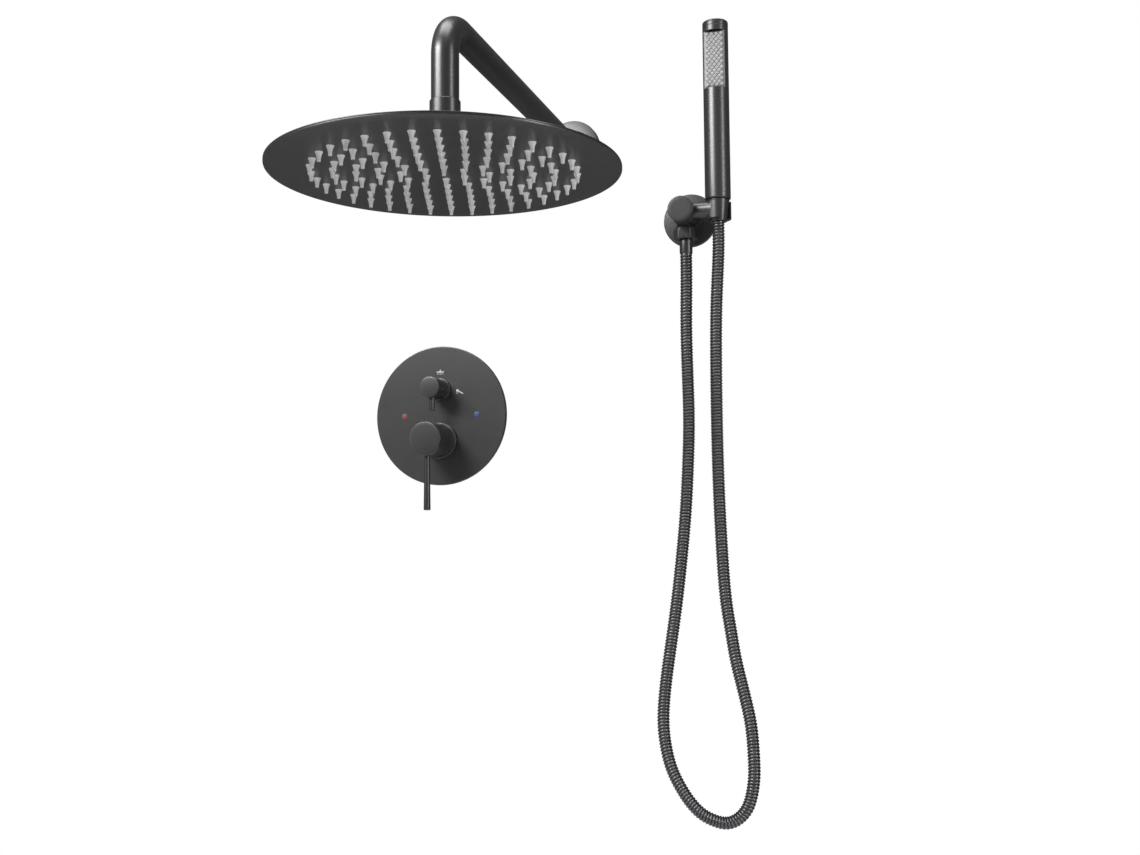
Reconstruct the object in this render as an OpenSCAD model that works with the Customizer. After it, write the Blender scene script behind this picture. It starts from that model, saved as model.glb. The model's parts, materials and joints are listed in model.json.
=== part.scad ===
// Concealed shower set: a rain head on a wall arm, a mixer and diverter trim,
// and a hand shower on a wall outlet with its hose.
// The wall is the plane Y = 0. The room is on the -Y side and the wall's inside on +Y.
// The origin is the centre of the trim plate's back face. Depths are measured from
// the wall into the room, so a negative depth lies inside the wall.

/* [Rain head] */
// Diameter of the rain head
head_dia = 300; // [260:1:320]
// Nozzle rings, each with six nozzles more than the one inside it
nozzle_rings = 6; // [3:1:6]
// Radial step from one nozzle ring to the next
nozzle_pitch = 18.7; // [14:0.1:19]
// Turn of the nozzle pattern about the head's axis
nozzle_turn = -10.5; // [-30:0.5:30]
// How far a nozzle stands below the face
nozzle_drop = 8; // [4:0.5:8]
// Diameter of the ball in the swivel
ball_dia = 22; // [22:0.1:22.2]

/* [Wall arm] */
// Distance from the wall to the rain head's axis
arm_reach = 390; // [330:1:420]
// Outside diameter of the arm's tube
arm_dia = 24; // [22:0.5:25]
// Height from the rain head's face to the arm's axis
arm_rise = 134; // [125:1:150]
// Radius of the arm's bend, on its centre line
arm_bend = 32; // [26:1:40]
// Diameter of the arm's wall flange
arm_flange_dia = 65; // [50:1:80]

/* [Valve trim] */
// Diameter of the trim plate
plate_dia = 165; // [155:1:180]
// Thickness of the trim plate
plate_t = 4; // [4:0.5:5]
// Diameter of the mixer knob
knob_dia = 39.4; // [39:0.1:40]
// Depth of the mixer knob's front face
knob_front = 52; // [48:1:60]
// Length of the mixer's lever, from the knob's axis to its tip
lever_len = 82; // [60:1:95]
// Diameter of the diverter knob
diverter_dia = 24.6; // [24:0.1:26]
// Depth of the diverter knob's front face
diverter_front = 38; // [36:1:44]
// Length of the diverter's pin, from the knob's axis to its tip
diverter_pin_len = 27; // [20:1:27]

/* [Hand shower] */
// Diameter of the handset's tube
wand_dia = 28; // [28:0.5:30]
// Length of the handset, from its lower end to the top of its cap
wand_len = 198; // [180:1:230]
// Height of the spray window
window_h = 64; // [50:1:70]
// Diameter of the outlet's wall flange
bracket_flange_dia = 60; // [50:1:70]
// Diameter of the outlet's body
bracket_dia = 28; // [28:0.5:30]
// Depth of the outlet's front face
bracket_front = 62; // [60:1:70]
// Outside diameter of the hose
hose_dia = 13.5; // [12:0.5:13.5]

/* [Placement on the wall] */
// Rain arm, to the right of the trim plate's centre
arm_x = 166; // [100:1:200]
// Rain arm, above the trim plate's centre
arm_z = 306; // [280:1:500]

/* [Hidden] */
$fn = 72;

// Colours
black = [0.13, 0.13, 0.14];
soft_black = [0.07, 0.07, 0.07];
brass = [0.74, 0.60, 0.32];
steel = [0.70, 0.71, 0.73];
silicone = [0.62, 0.62, 0.62];
nylon = [0.88, 0.87, 0.82];
hot_red = [0.78, 0.12, 0.10];
cold_blue = [0.10, 0.25, 0.70];
mark_white = [0.92, 0.92, 0.92];

// Half-inch pipe thread, and the play of pieces that screw or slide together
thread_r = 10.48;
nipple_r = 10.3;
play = 0.1;
joint_gap = 0.3;
stub_len = 15;
water_r = 5;
eps = 0.01;

// Rain head, with heights measured up from its face
head_r = head_dia / 2;
head_z = arm_z - arm_rise;
face_t = 1.5;
rim_t = 1.1;
cover_t = 2;
dome_h = 11;
boss_r = 34;
rim_w = 7;
mat_t = 2;
nozzle_base_r = 3.35;
nozzle_tip_r = 1.55;
nozzle_flare = 0.45;
ball_r = ball_dia / 2;
ball_h = 28;
cavity_r = ball_r + 2;
band_in_r = ball_r + joint_gap;
band_out_r = cavity_r - joint_gap;
seal_low = -11.5;
seal_top = -8.5;
glide_low = -4.8;
glide_top = -1;
cup_r = 15.5;
cup_top = ball_h - 2;
hub_hole_r = 11;
hub_seal_r = 0.6;
hub_flange_r = 19;
hub_flange_t = 4;
lock_nut_r = 17;
lock_nut_t = 4;
ball_nut_r = 18.5;
ball_nut_low = 16;
lip_h = 7;
lip_top = 9;
lip_r = 8.9;
lip_mouth_r = 11;
stem_r = 6;
stem_bore_r = 3.5;
collar_r = 13.25;
collar_low = 43;
collar_top = 62;
collar_floor = 3;
strainer_t = 1.5;

// Wall arm
arm_r = arm_dia / 2;
arm_bore_r = 8;
arm_flange_t = 8;

// Valve trim, with depths measured from the wall
plate_r = plate_dia / 2;
groove_out_r = plate_r - 4;
groove_in_r = plate_r - 9;
groove_depth = 1.5;
mixer_z = -30;
diverter_z = 31;
knob_r = knob_dia / 2;
pivot_d = 2;
dome_r = 24;
knob_hollow_r = dome_r + 0.5;
sleeve_r = 19.5;
sleeve_flange_r = 21.5;
sleeve_flange_t = 4;
sleeve_in_r = 15.5;
seal_t = 0.6;
cart_r = 17.4;
cart_back = -42;
cart_top = -8;
neck_r = 12.5;
neck_top = 8;
turret_r = 10.5;
turret_hole_r = 6.6;
turret_half_h = 5;
cart_nut_r = 19.3;
cart_nut_top = 6;
spindle_r = 3.5;
spindle_end = 40;
lever_depth = knob_front - 9;
lever_top_r = 3.2;
lever_tip_r = 4;
lever_spigot_r = 2.4;
turret_pin_r = 1.5;
turret_pin_len = 19;
div_knob_r = diverter_dia / 2;
div_sleeve_r = 12;
div_flange_r = 13.5;
div_cart_r = 10;
div_cart_back = -36;
div_cart_top = -6;
div_neck_r = 7;
div_nut_r = 10.8;
div_nut_top = 5;
div_spindle_end = 30;
div_knob_low = 15.6;
div_pin_depth = diverter_front - 9;
div_pin_r = 3.25;
screw_r = 2;
screw_depth = 32;
div_screw_depth = 21;
mark_t = 0.4;
mark_x = 46;
mark_r = 3.4;
rain_mark_z = 51;
hand_mark_x = 24.5;
hand_mark_z = 27;

// Rough-in body inside the wall
barrel_r = 14;
barrel_y = 32;
body_front = 4;
body_back = 56;
pin_len = 14;
inlet_x = 42;
head_port_z = 50;
hand_port_z = -54;
hand_port_y = 46;
hand_neck_r = thread_r + 1;
channel_r = 4;

// Hand shower outlet and holder, at the place on the wall that the hose's route starts from
bracket_x = 303;
bracket_z = 211;
bracket_r = bracket_dia / 2;
bracket_flange_t = 5;
outlet_d = 30;
nipple_len = 10;
check_valve_r = 2;
check_valve_len = 9;
bar_d = 45;
bar_r = 9;
bar_spigot_r = 6;
bracket_bore_r = thread_r + 0.15;
holder_x = 341;
holder_d = 41;
holder_r = 14.2;
holder_low = bracket_z - 10.5;
holder_top = bracket_z + 8;
holder_low_r = 10.2;
holder_top_r = 12.6;
slot_w = 14.4;
slot_turn = -35;
nut_flats = 24;
nut_h = 13;
nut_top = bracket_z - bracket_r - 0.5;
tail_flange_t = 1.4;
tail_r = 6.8;
hose_bore_r = 3.5;
ferrule_r = 7.2;
cone_low = bracket_z - 13;
cone_top = bracket_z + 10.5;
cone_low_r = 9.6;
cone_top_r = 12.6;
cone_floor = 14;
wand_r = wand_dia / 2;
wand_in_r = 12.2;
core_r = 5;
tail_plug_h = 18;
wand_low = bracket_z + 11;
wand_top = wand_low + wand_len;
cap_t = 6;
cap_plug = 6;
window_top = wand_top - 12;
window_low = window_top - window_h;
window_face = 8;
spray_t = 2.5;
spray_step = 1.2;
spray_gap = 0.2;
spray_cols = 4;
spray_rows = 10;
spray_x_pitch = 5.2;
spray_z_pitch = 6.4;
spray_cone_r = 2.2;
spray_tip_r = 0.7;
spray_cone_h = 1.8;

// The hose's route, from the ferrule under the outlet down, round its loop and up to the holder
hose_route = [
  [303, -30, 168], [303, -30, 135], [302, -31, 85], [303, -31, 30], [304, -32, -20], [302, -33, -70],
  [299, -34, -120], [292, -35, -185], [286, -36, -230], [279, -37, -275], [274, -37, -310], [272, -38, -342],
  [275, -38, -368], [280, -38, -388], [288, -38, -405], [299, -38, -422], [312, -38, -435], [326, -38, -441],
  [339, -39, -443], [351, -39, -438], [361, -39, -427], [366, -39, -412], [369, -40, -394], [369, -40, -375],
  [368, -40, -355], [366, -40, -335], [361, -40, -312], [356, -40, -291], [351, -41, -268], [347, -41, -240],
  [342, -41, -208], [339, -41, -155], [337, -41, -100], [336, -41, -40], [336, -41, 30], [337, -41, 100],
  [340, -41, 150], [341, -41, 175], [341, -41, 198]
];
hose_sides = 10;

// Places things on the wall at (x, z), with local +Z pointing out into the room
module on_wall(x, z) {
  translate([x, 0, z]) rotate([90, 0, 0]) children();
}

// Places things on the rain head's axis, with height 0 at its face
module on_head() {
  translate([arm_x, -arm_reach, head_z]) children();
}

// Places things at the centre of the swivel's ball
module at_ball() {
  on_head() translate([0, 0, ball_h]) children();
}

// A round bar or hole between two heights
module rod(r, low, high) {
  translate([0, 0, low]) cylinder(r = r, h = high - low);
}

// A ring or tube between two heights
module tube(r, hole_r, low, high) {
  difference() {
    rod(r, low, high);
    rod(hole_r, low - 1, high + 1);
  }
}

// A disc whose outer front edge is chamfered
module chamfered_disc(r, low, high, chamfer) {
  rotate_extrude() polygon([
    [0, low], [r, low], [r, high - chamfer], [r - chamfer, high], [0, high]
  ]);
}

// A rubber ring of round section
module o_ring(ring_r, cord_r) {
  rotate_extrude() translate([ring_r, 0]) circle(r = cord_r, $fn = 24);
}

// The arm's line as a solid of radius r: out of the wall, round the bend and down
module arm_line(r) {
  straight = arm_reach - arm_bend;
  rotate([90, 0, 0]) cylinder(r = r, h = straight);
  translate([0, -straight, -arm_bend]) rotate([180, -90, 0])
    rotate_extrude(angle = 90) translate([arm_bend, 0]) circle(r = r);
  translate([0, -arm_reach, collar_top - arm_rise]) cylinder(r = r, h = arm_rise - collar_top - arm_bend);
}

module shower_arm() {
  end_z = collar_low + collar_floor + strainer_t - arm_rise;
  color(black) translate([arm_x, 0, arm_z]) difference() {
    union() {
      arm_line(arm_r);
      rotate([-90, 0, 0]) cylinder(r = thread_r, h = stub_len);
      translate([0, -arm_reach, end_z]) cylinder(r = nipple_r, h = collar_top - arm_rise - end_z);
    }
    arm_line(arm_bore_r);
    rotate([-90, 0, 0]) translate([0, 0, -1]) cylinder(r = arm_bore_r, h = stub_len + 2);
    translate([0, -arm_reach, end_z - 1]) cylinder(r = arm_bore_r, h = collar_top - arm_rise - end_z + 2);
  }
}

// A round wall flange with a chamfered rim and a groove for its rubber ring
module wall_flange(r, hole_r, t) {
  difference() {
    chamfered_disc(r, 0, t, 1);
    rod(hole_r, -1, t + 1);
    translate([0, 0, t / 2]) o_ring(hole_r, 1);
  }
}

module arm_flange() {
  color(black) on_wall(arm_x, arm_z) wall_flange(arm_flange_dia / 2, arm_r + play, arm_flange_t);
}

// A rubber ring that fills the groove in a flange's bore down to the tube
module flange_seal(hole_r, gap, t) {
  translate([0, 0, t / 2]) difference() {
    o_ring(hole_r, 1);
    rod(hole_r - gap, -t, t);
  }
}

module arm_flange_seal() {
  color(soft_black) on_wall(arm_x, arm_z) flange_seal(arm_r + play, play, arm_flange_t);
}

module ball_stem() {
  color(black) on_head() difference() {
    union() {
      translate([0, 0, ball_h]) sphere(r = ball_r);
      rod(stem_r, ball_h, collar_low + 1);
      chamfered_disc(collar_r, collar_low, collar_top, 0.6);
    }
    rod(stem_bore_r, 0, collar_top);
    rod(nipple_r + play, collar_low + collar_floor, collar_top + 1);
  }
}

module inlet_strainer() {
  floor_h = collar_low + collar_floor;
  color(steel) on_head() tube(nipple_r - play, stem_bore_r, floor_h, floor_h + strainer_t);
}

// A band between two spheres, cut off between two heights from the ball's centre
module ball_band(low, high) {
  intersection() {
    difference() {
      sphere(r = band_out_r);
      sphere(r = band_in_r);
    }
    rod(cavity_r + 1, low, high);
  }
}

module ball_seal() {
  color(soft_black) at_ball() ball_band(seal_low, seal_top);
}

module ball_glide() {
  color(nylon) at_ball() ball_band(glide_low, glide_top);
}

module ball_cup() {
  color(black) on_head() difference() {
    union() {
      rod(hub_hole_r - play, dome_h - cover_t - lock_nut_t - 1, dome_h);
      rod(hub_flange_r, dome_h, dome_h + hub_flange_t);
      rod(cup_r, dome_h, cup_top);
    }
    translate([0, 0, ball_h]) sphere(r = cavity_r);
    rod(water_r, 0, ball_h);
  }
}

module ball_nut() {
  color(black) on_head() difference() {
    rod(ball_nut_r, ball_nut_low, ball_h + lip_top);
    rod(cup_r + play, ball_nut_low - 1, cup_top);
    rod(cavity_r, cup_top - 1, ball_h + 0.5);
    translate([0, 0, ball_h]) sphere(r = band_in_r + 0.05);
    translate([0, 0, ball_h + lip_h]) cylinder(r1 = lip_r, r2 = lip_mouth_r, h = lip_top - lip_h + eps);
  }
}

module hub_lock_nut() {
  top = dome_h - cover_t;
  color(brass) on_head() tube(lock_nut_r, hub_hole_r, top - lock_nut_t, top);
}

module hub_seal() {
  color(soft_black) on_head() translate([0, 0, dome_h - cover_t / 2]) hub_seal_ring();
}

// The rubber ring in the cover's hole, round the cup's spigot
module hub_seal_ring() {
  difference() {
    o_ring(hub_hole_r, hub_seal_r);
    rod(hub_hole_r - play, -1, 1);
  }
}

module head_cover() {
  rim_top = face_t + rim_t;
  color(black) on_head() difference() {
    rotate_extrude() polygon([
      [head_r - rim_w, face_t], [head_r, face_t], [head_r, rim_top], [boss_r, dome_h], [hub_hole_r, dome_h],
      [hub_hole_r, dome_h - cover_t], [boss_r, dome_h - cover_t], [head_r - rim_w, face_t + 1]
    ]);
    translate([0, 0, dome_h - cover_t / 2]) o_ring(hub_hole_r, hub_seal_r);
  }
}

// Repeats a 2-D or 3-D shape at every nozzle's place
module at_nozzles() {
  for (ring = [1 : nozzle_rings])
    for (step = [0 : 6 * ring - 1])
      rotate([0, 0, nozzle_turn + step * 60 / ring]) translate([ring * nozzle_pitch, 0, 0]) children();
}

module head_face_plate() {
  color(black) on_head() linear_extrude(face_t) difference() {
    circle(r = head_r, $fn = 180);
    at_nozzles() circle(r = nozzle_base_r + play, $fn = 24);
  }
}

module nozzle_mat() {
  waist_r = nozzle_tip_r + nozzle_flare;
  color(silicone) on_head() {
    rod(nozzle_rings * nozzle_pitch + 8, face_t, face_t + mat_t);
    at_nozzles() rotate_extrude($fn = 24) polygon([
      [0, -nozzle_drop], [nozzle_tip_r, -nozzle_drop], [waist_r, -nozzle_drop / 2], [nozzle_base_r, 0],
      [nozzle_base_r, face_t + 1], [0, face_t + 1]
    ]);
  }
}

// The brass body that is built into the wall, with male ends for its four pipes
module valve_body() {
  color(brass) difference() {
    union() {
      on_wall(0, mixer_z) rod(cart_r + 5, -body_back, -body_front);
      on_wall(0, diverter_z) rod(div_cart_r + 5, -body_back, -body_front);
      translate([-barrel_r, 18, mixer_z]) cube([2 * barrel_r, body_back - 18, diverter_z - mixer_z]);
      translate([-inlet_x, barrel_y, mixer_z]) rotate([0, 90, 0]) rod(barrel_r, 0, 2 * inlet_x);
      translate([-inlet_x - pin_len, barrel_y, mixer_z]) rotate([0, 90, 0])
        rod(thread_r, 0, 2 * (inlet_x + pin_len));
      translate([0, barrel_y, diverter_z]) rod(thread_r, 0, head_port_z + pin_len - diverter_z);
      translate([0, barrel_y, diverter_z]) rod(barrel_r, 0, head_port_z - diverter_z);
      translate([0, hand_port_y, mixer_z]) rod(hand_neck_r, hand_port_z - mixer_z, 0);
      translate([0, hand_port_y, hand_port_z]) rod(thread_r, -pin_len, 1);
    }
    valve_ways();
  }
}

// The pockets for the two cartridges and the ways that the water takes
module valve_ways() {
  on_wall(0, mixer_z) rod(cart_r + play, cart_back, 0);
  on_wall(0, mixer_z) rod(cart_nut_r + play, cart_top, 0);
  on_wall(0, diverter_z) rod(div_cart_r + play, div_cart_back, 0);
  on_wall(0, diverter_z) rod(div_nut_r + play, div_cart_top, 0);
  translate([-inlet_x - pin_len - 1, barrel_y, mixer_z]) rotate([0, 90, 0])
    rod(water_r, 0, 2 * (inlet_x + pin_len + 1));
  translate([0, barrel_y, mixer_z]) rod(water_r, 0, head_port_z + pin_len + 1 - mixer_z);
  translate([0, hand_port_y, 0]) rod(channel_r, hand_port_z - pin_len - 1, diverter_z);
  on_wall(0, diverter_z) rod(channel_r, -hand_port_y, 0);
}

module mixer_cartridge() {
  color(nylon) on_wall(0, mixer_z) difference() {
    union() {
      rod(cart_r, cart_back, cart_top);
      rod(neck_r, cart_top, neck_top);
    }
    rod(turret_r + joint_gap, pivot_d - 8, neck_top + 1);
  }
}

module cartridge_nut() {
  color(brass) on_wall(0, mixer_z) tube(cart_nut_r, neck_r + play, cart_top, cart_nut_top);
}

module diverter_cartridge() {
  color(nylon) on_wall(0, diverter_z) difference() {
    union() {
      rod(div_cart_r, div_cart_back, div_cart_top);
      rod(div_neck_r, div_cart_top, neck_top);
    }
    rod(spindle_r + 0.06, div_cart_top - 4, neck_top + 1);
  }
}

module diverter_nut() {
  color(brass) on_wall(0, diverter_z) tube(div_nut_r, div_neck_r + play, div_cart_top, div_nut_top);
}

module trim_plate() {
  color(black) difference() {
    on_wall(0, 0) chamfered_disc(plate_r, 0, plate_t, 0.6);
    on_wall(0, mixer_z) rod(cart_nut_r + 0.5, -1, plate_t + 1);
    on_wall(0, diverter_z) rod(div_nut_r + 0.4, -1, plate_t + 1);
    on_wall(0, 0) tube(groove_out_r, groove_in_r, -1, groove_depth);
  }
}

module trim_seal() {
  color(soft_black) on_wall(0, 0) tube(groove_out_r - play, groove_in_r + play, 0, groove_depth);
}

// A sleeve whose front is a dome round the lever's pivot, so that the knob can tilt over it
module mixer_sleeve() {
  low = plate_t + seal_t;
  color(black) on_wall(0, mixer_z) difference() {
    union() {
      chamfered_disc(sleeve_flange_r, low, low + sleeve_flange_t, 0.5);
      intersection() {
        rod(sleeve_r, low, dome_r + pivot_d);
        translate([0, 0, pivot_d]) sphere(r = dome_r);
      }
    }
    rod(cart_nut_r + 0.2, 0, cart_nut_top + 0.5);
    rod(sleeve_in_r, 0, dome_r + pivot_d + 1);
  }
}

module mixer_sleeve_seal() {
  color(soft_black) on_wall(0, mixer_z)
    tube(sleeve_flange_r - 0.4, cart_nut_r + 0.6, plate_t, plate_t + seal_t);
}

module diverter_sleeve() {
  low = plate_t + seal_t;
  color(black) on_wall(0, diverter_z) difference() {
    union() {
      chamfered_disc(div_flange_r, low, low + 3, 0.5);
      rod(div_sleeve_r, low, div_knob_low - 0.6);
    }
    rod(div_nut_r + 0.2, 0, div_nut_top + 0.5);
    rod(div_neck_r + 0.4, 0, div_knob_low);
  }
}

module diverter_sleeve_seal() {
  color(soft_black) on_wall(0, diverter_z)
    tube(div_flange_r - 0.4, div_nut_r + 0.6, plate_t, plate_t + seal_t);
}

module hot_mark() {
  color(hot_red) on_wall(-mark_x, 0) rod(mark_r, plate_t, plate_t + mark_t);
}

module cold_mark() {
  color(cold_blue) on_wall(mark_x, 0) rod(mark_r, plate_t, plate_t + mark_t);
}

// A small picture of a rain head: a pointed stem, a tapered bar and five drops
module rain_mark() {
  color(mark_white) on_wall(0, rain_mark_z) translate([0, 0, plate_t]) linear_extrude(mark_t) {
    polygon([[-3.8, 0], [3.8, 0], [5, 1.8], [1.4, 1.5], [0, 4.2], [-1.4, 1.5], [-5, 1.8]]);
    for (i = [-2 : 2]) translate([1.8 * i, -1.5]) circle(r = 0.55, $fn = 16);
  }
}

// A small picture of a hand shower: a slanted handle, a round head and two drops
module hand_mark() {
  color(mark_white) on_wall(hand_mark_x, hand_mark_z) translate([0, 0, plate_t]) linear_extrude(mark_t) {
    translate([-2.6, 2]) rotate(-28) translate([0, -0.7]) square([8, 1.4]);
    translate([-2.6, 2]) circle(r = 1.7, $fn = 24);
    translate([-3.9, -0.9]) circle(r = 0.55, $fn = 16);
    translate([-2.1, -0.9]) circle(r = 0.55, $fn = 16);
  }
}

module mixer_turret() {
  color(nylon) on_wall(0, mixer_z) difference() {
    rod(turret_r, pivot_d - turret_half_h, pivot_d + turret_half_h);
    rod(turret_hole_r, pivot_d - turret_half_h - 1, pivot_d + turret_half_h + 1);
    translate([0, 0, pivot_d]) rotate([0, 90, 0]) rod(turret_pin_r, -turret_r - 1, turret_r + 1);
  }
}

module turret_pin() {
  color(steel) on_wall(0, mixer_z) translate([0, 0, pivot_d]) rotate([0, 90, 0])
    rod(turret_pin_r, -turret_pin_len / 2, turret_pin_len / 2);
}

module mixer_spindle() {
  color(brass) on_wall(0, mixer_z) difference() {
    rod(spindle_r, pivot_d - 4, spindle_end);
    translate([0, 0, pivot_d]) rotate([0, 90, 0]) rod(turret_pin_r + 0.06, -spindle_r - 1, spindle_r + 1);
  }
}

module mixer_knob() {
  color(black) on_wall(0, mixer_z) difference() {
    chamfered_disc(knob_r, dome_r / 2, knob_front, 0.8);
    translate([0, 0, pivot_d]) sphere(r = knob_hollow_r);
    rod(spindle_r + play, pivot_d, spindle_end + 0.5);
    translate([0, 0, lever_depth]) rotate([90, 0, 0]) rod(lever_spigot_r + play, knob_r - 8, knob_r + 1);
    translate([0, 0, screw_depth]) rotate([90, 0, 0]) rod(screw_r + 0.05, 0, knob_r + 1);
  }
}

module mixer_lever() {
  color(black) on_wall(0, mixer_z) translate([0, 0, lever_depth]) rotate([90, 0, 0]) {
    rod(lever_spigot_r, knob_r - 7, knob_r + 1);
    translate([0, 0, knob_r]) cylinder(r1 = lever_top_r, r2 = lever_tip_r, h = lever_len - knob_r);
  }
}

module mixer_set_screw() {
  color(steel) on_wall(0, mixer_z) translate([0, 0, screw_depth]) rotate([90, 0, 0])
    rod(screw_r, spindle_r + play, spindle_r + 6);
}

module diverter_spindle() {
  color(brass) on_wall(0, diverter_z) rod(spindle_r, div_cart_top - 3, div_spindle_end);
}

module diverter_knob() {
  color(black) on_wall(0, diverter_z) difference() {
    chamfered_disc(div_knob_r, div_knob_low, diverter_front, 0.8);
    rod(spindle_r + play, 0, div_spindle_end + 0.5);
    translate([0, 0, div_pin_depth]) rotate([90, 0, 0]) rod(lever_spigot_r + play, 6.5, div_knob_r + 1);
    translate([0, 0, div_screw_depth]) rotate([90, 0, 0]) rod(screw_r + 0.05, 0, div_knob_r + 1);
  }
}

module diverter_pin() {
  color(black) on_wall(0, diverter_z) translate([0, 0, div_pin_depth]) rotate([90, 0, 0]) {
    rod(lever_spigot_r, 7, div_knob_r + 1);
    rod(div_pin_r, div_knob_r, diverter_pin_len);
  }
}

module diverter_set_screw() {
  color(steel) on_wall(0, diverter_z) translate([0, 0, div_screw_depth]) rotate([90, 0, 0])
    rod(screw_r, spindle_r + play, spindle_r + 5);
}

// The outlet's body: a stub into the wall, the round body, and a nipple for the hose underneath
module bracket_body() {
  nipple_top = bracket_z - bracket_r;
  color(black) difference() {
    union() {
      on_wall(bracket_x, bracket_z) rod(thread_r, -stub_len, 0);
      on_wall(bracket_x, bracket_z) rod(nipple_r, 0, bracket_flange_t + 1);
      on_wall(bracket_x, bracket_z) chamfered_disc(bracket_r, bracket_flange_t, bracket_front, 0.5);
      translate([bracket_x, -outlet_d, nipple_top - nipple_len]) rod(nipple_r, 0, nipple_len + 4);
    }
    on_wall(bracket_x, bracket_z) rod(water_r, -stub_len - 1, outlet_d);
    translate([bracket_x, -outlet_d, bracket_z]) rod(water_r, -bracket_r - nipple_len - 1, 0);
    translate([bracket_x, -bar_d, bracket_z]) rotate([0, 90, 0]) rod(bar_spigot_r + play, 2, bracket_r + 1);
  }
}

module bracket_flange() {
  color(black) on_wall(bracket_x, bracket_z)
    wall_flange(bracket_flange_dia / 2, bracket_bore_r, bracket_flange_t);
}

module bracket_flange_seal() {
  color(soft_black) on_wall(bracket_x, bracket_z) flange_seal(bracket_bore_r, play, bracket_flange_t);
}

// The round bar from the outlet to the holder, with the holder's slotted ring on its end
module holder_arm() {
  color(black) difference() {
    union() {
      saddled_bar();
      translate([bracket_x, -bar_d, bracket_z]) rotate([0, 90, 0]) rod(bar_spigot_r, 3, bracket_r + 3);
      translate([holder_x, -holder_d, 0]) rod(holder_r, holder_low, holder_top);
    }
    translate([holder_x, -holder_d, 0]) rotate_extrude() polygon([
      [0, holder_low - 2], [holder_low_r, holder_low - 2], [holder_low_r, holder_low],
      [holder_top_r, holder_top], [holder_top_r, holder_top + 3], [0, holder_top + 3]
    ]);
    holder_slot();
  }
}

// The bar alone, its end hollowed to sit against the outlet's round body
module saddled_bar() {
  difference() {
    translate([bracket_x, -bar_d, bracket_z]) rotate([0, 90, 0])
      rod(bar_r, bracket_r / 2, holder_x - bracket_x);
    on_wall(bracket_x, bracket_z) rod(bracket_r, bar_d - bar_r - 1, bar_d + bar_r + 1);
  }
}

// The gap in the holder's ring that lets the hose in, toward the front right
module holder_slot() {
  translate([holder_x, -holder_d, holder_low - 1]) rotate([0, 0, slot_turn])
    translate([0, -slot_w / 2, 0]) cube([holder_r + bar_r, slot_w, holder_top - holder_low + 2]);
}

module check_valve() {
  low = bracket_z - bracket_r - nipple_len;
  color(nylon) translate([bracket_x, -outlet_d, low])
    tube(water_r - 0.05, check_valve_r, 0, check_valve_len);
}

module hose_hex_nut() {
  corner_r = nut_flats / 2 / cos(30);
  low = nut_top - nut_h;
  color(black) translate([bracket_x, -outlet_d, 0]) difference() {
    intersection() {
      translate([0, 0, low]) cylinder(r = corner_r, h = nut_h, $fn = 6);
      rotate_extrude() polygon([
        [0, low], [nut_flats / 2, low], [corner_r + eps, low + 1.6], [corner_r + eps, nut_top - 1.6],
        [nut_flats / 2, nut_top], [0, nut_top]
      ]);
    }
    rod(nipple_r + play, low + 1.5, nut_top + 1);
    rod(tail_r + play, low - 1, nut_top);
  }
}

module hex_nut_washer() {
  top = bracket_z - bracket_r - nipple_len;
  color(soft_black) translate([bracket_x, -outlet_d, 0]) tube(nipple_r - play, hose_bore_r, top - 0.6, top);
}

module hose_inlet_tail() {
  top = bracket_z - bracket_r - nipple_len - 0.6;
  low = nut_top - nut_h;
  color(brass) translate([bracket_x, -outlet_d, 0]) difference() {
    union() {
      rod(nipple_r - play, low + 1.5, top);
      rod(tail_r, low, top);
    }
    rod(hose_bore_r, low - 1, top + 1);
  }
}

module hose_ferrule() {
  top = nut_top - nut_h;
  color(black) translate([bracket_x, -outlet_d, 0]) rod(ferrule_r, hose_route[0][2], top);
}

// The unit vector along v
function unit(v) = v / norm(v);

// A point on the smooth curve through the route, half way along span i
function halfway(p, i) =
  let (a = p[max(i - 1, 0)], b = p[i], c = p[i + 1], d = p[min(i + 2, len(p) - 1)])
  (9 * (b + c) - a - d) / 16;

// The route with a point added half way along each span
function refined(p) = [
  for (i = [0 : len(p) - 1]) each (i < len(p) - 1 ? [p[i], halfway(p, i)] : [p[i]])
];

// The curve's direction at point i, which is upright at both ends
function heading(p, i) =
  i == 0 || i == len(p) - 1 ? [0, 0, i == 0 ? -1 : 1] : unit(p[i + 1] - p[i - 1]);

// One ring of the hose's skin round point i
function hose_ring(p, i) =
  let (t = heading(p, i), u = unit(cross(t, [0, 1, 0])), v = cross(t, u))
  [for (k = [0 : hose_sides - 1])
    p[i] + hose_dia / 2 * (cos(k * 360 / hose_sides) * u + sin(k * 360 / hose_sides) * v)];

module hose_tube() {
  path = refined(hose_route);
  last = len(path) - 1;
  skin = [for (i = [0 : last]) each hose_ring(path, i)];
  sides = [for (i = [0 : last - 1], k = [0 : hose_sides - 1])
    let (a = i * hose_sides + k, b = i * hose_sides + (k + 1) % hose_sides)
    [b, a, a + hose_sides, b + hose_sides]];
  first_cap = [for (k = [0 : hose_sides - 1]) k];
  last_cap = [for (k = [hose_sides - 1 : -1 : 0]) last * hose_sides + k];
  color(black) polyhedron(skin, concat([first_cap], sides, [last_cap]));
}

module hose_cone_nut() {
  color(black) translate([holder_x, -holder_d, 0]) difference() {
    translate([0, 0, cone_low]) cylinder(r1 = cone_low_r, r2 = cone_top_r, h = cone_top - cone_low);
    rod(nipple_r + play, cone_low + cone_floor, cone_top + 1);
    rod(tail_r + play, cone_low - 1, cone_top);
  }
}

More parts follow.
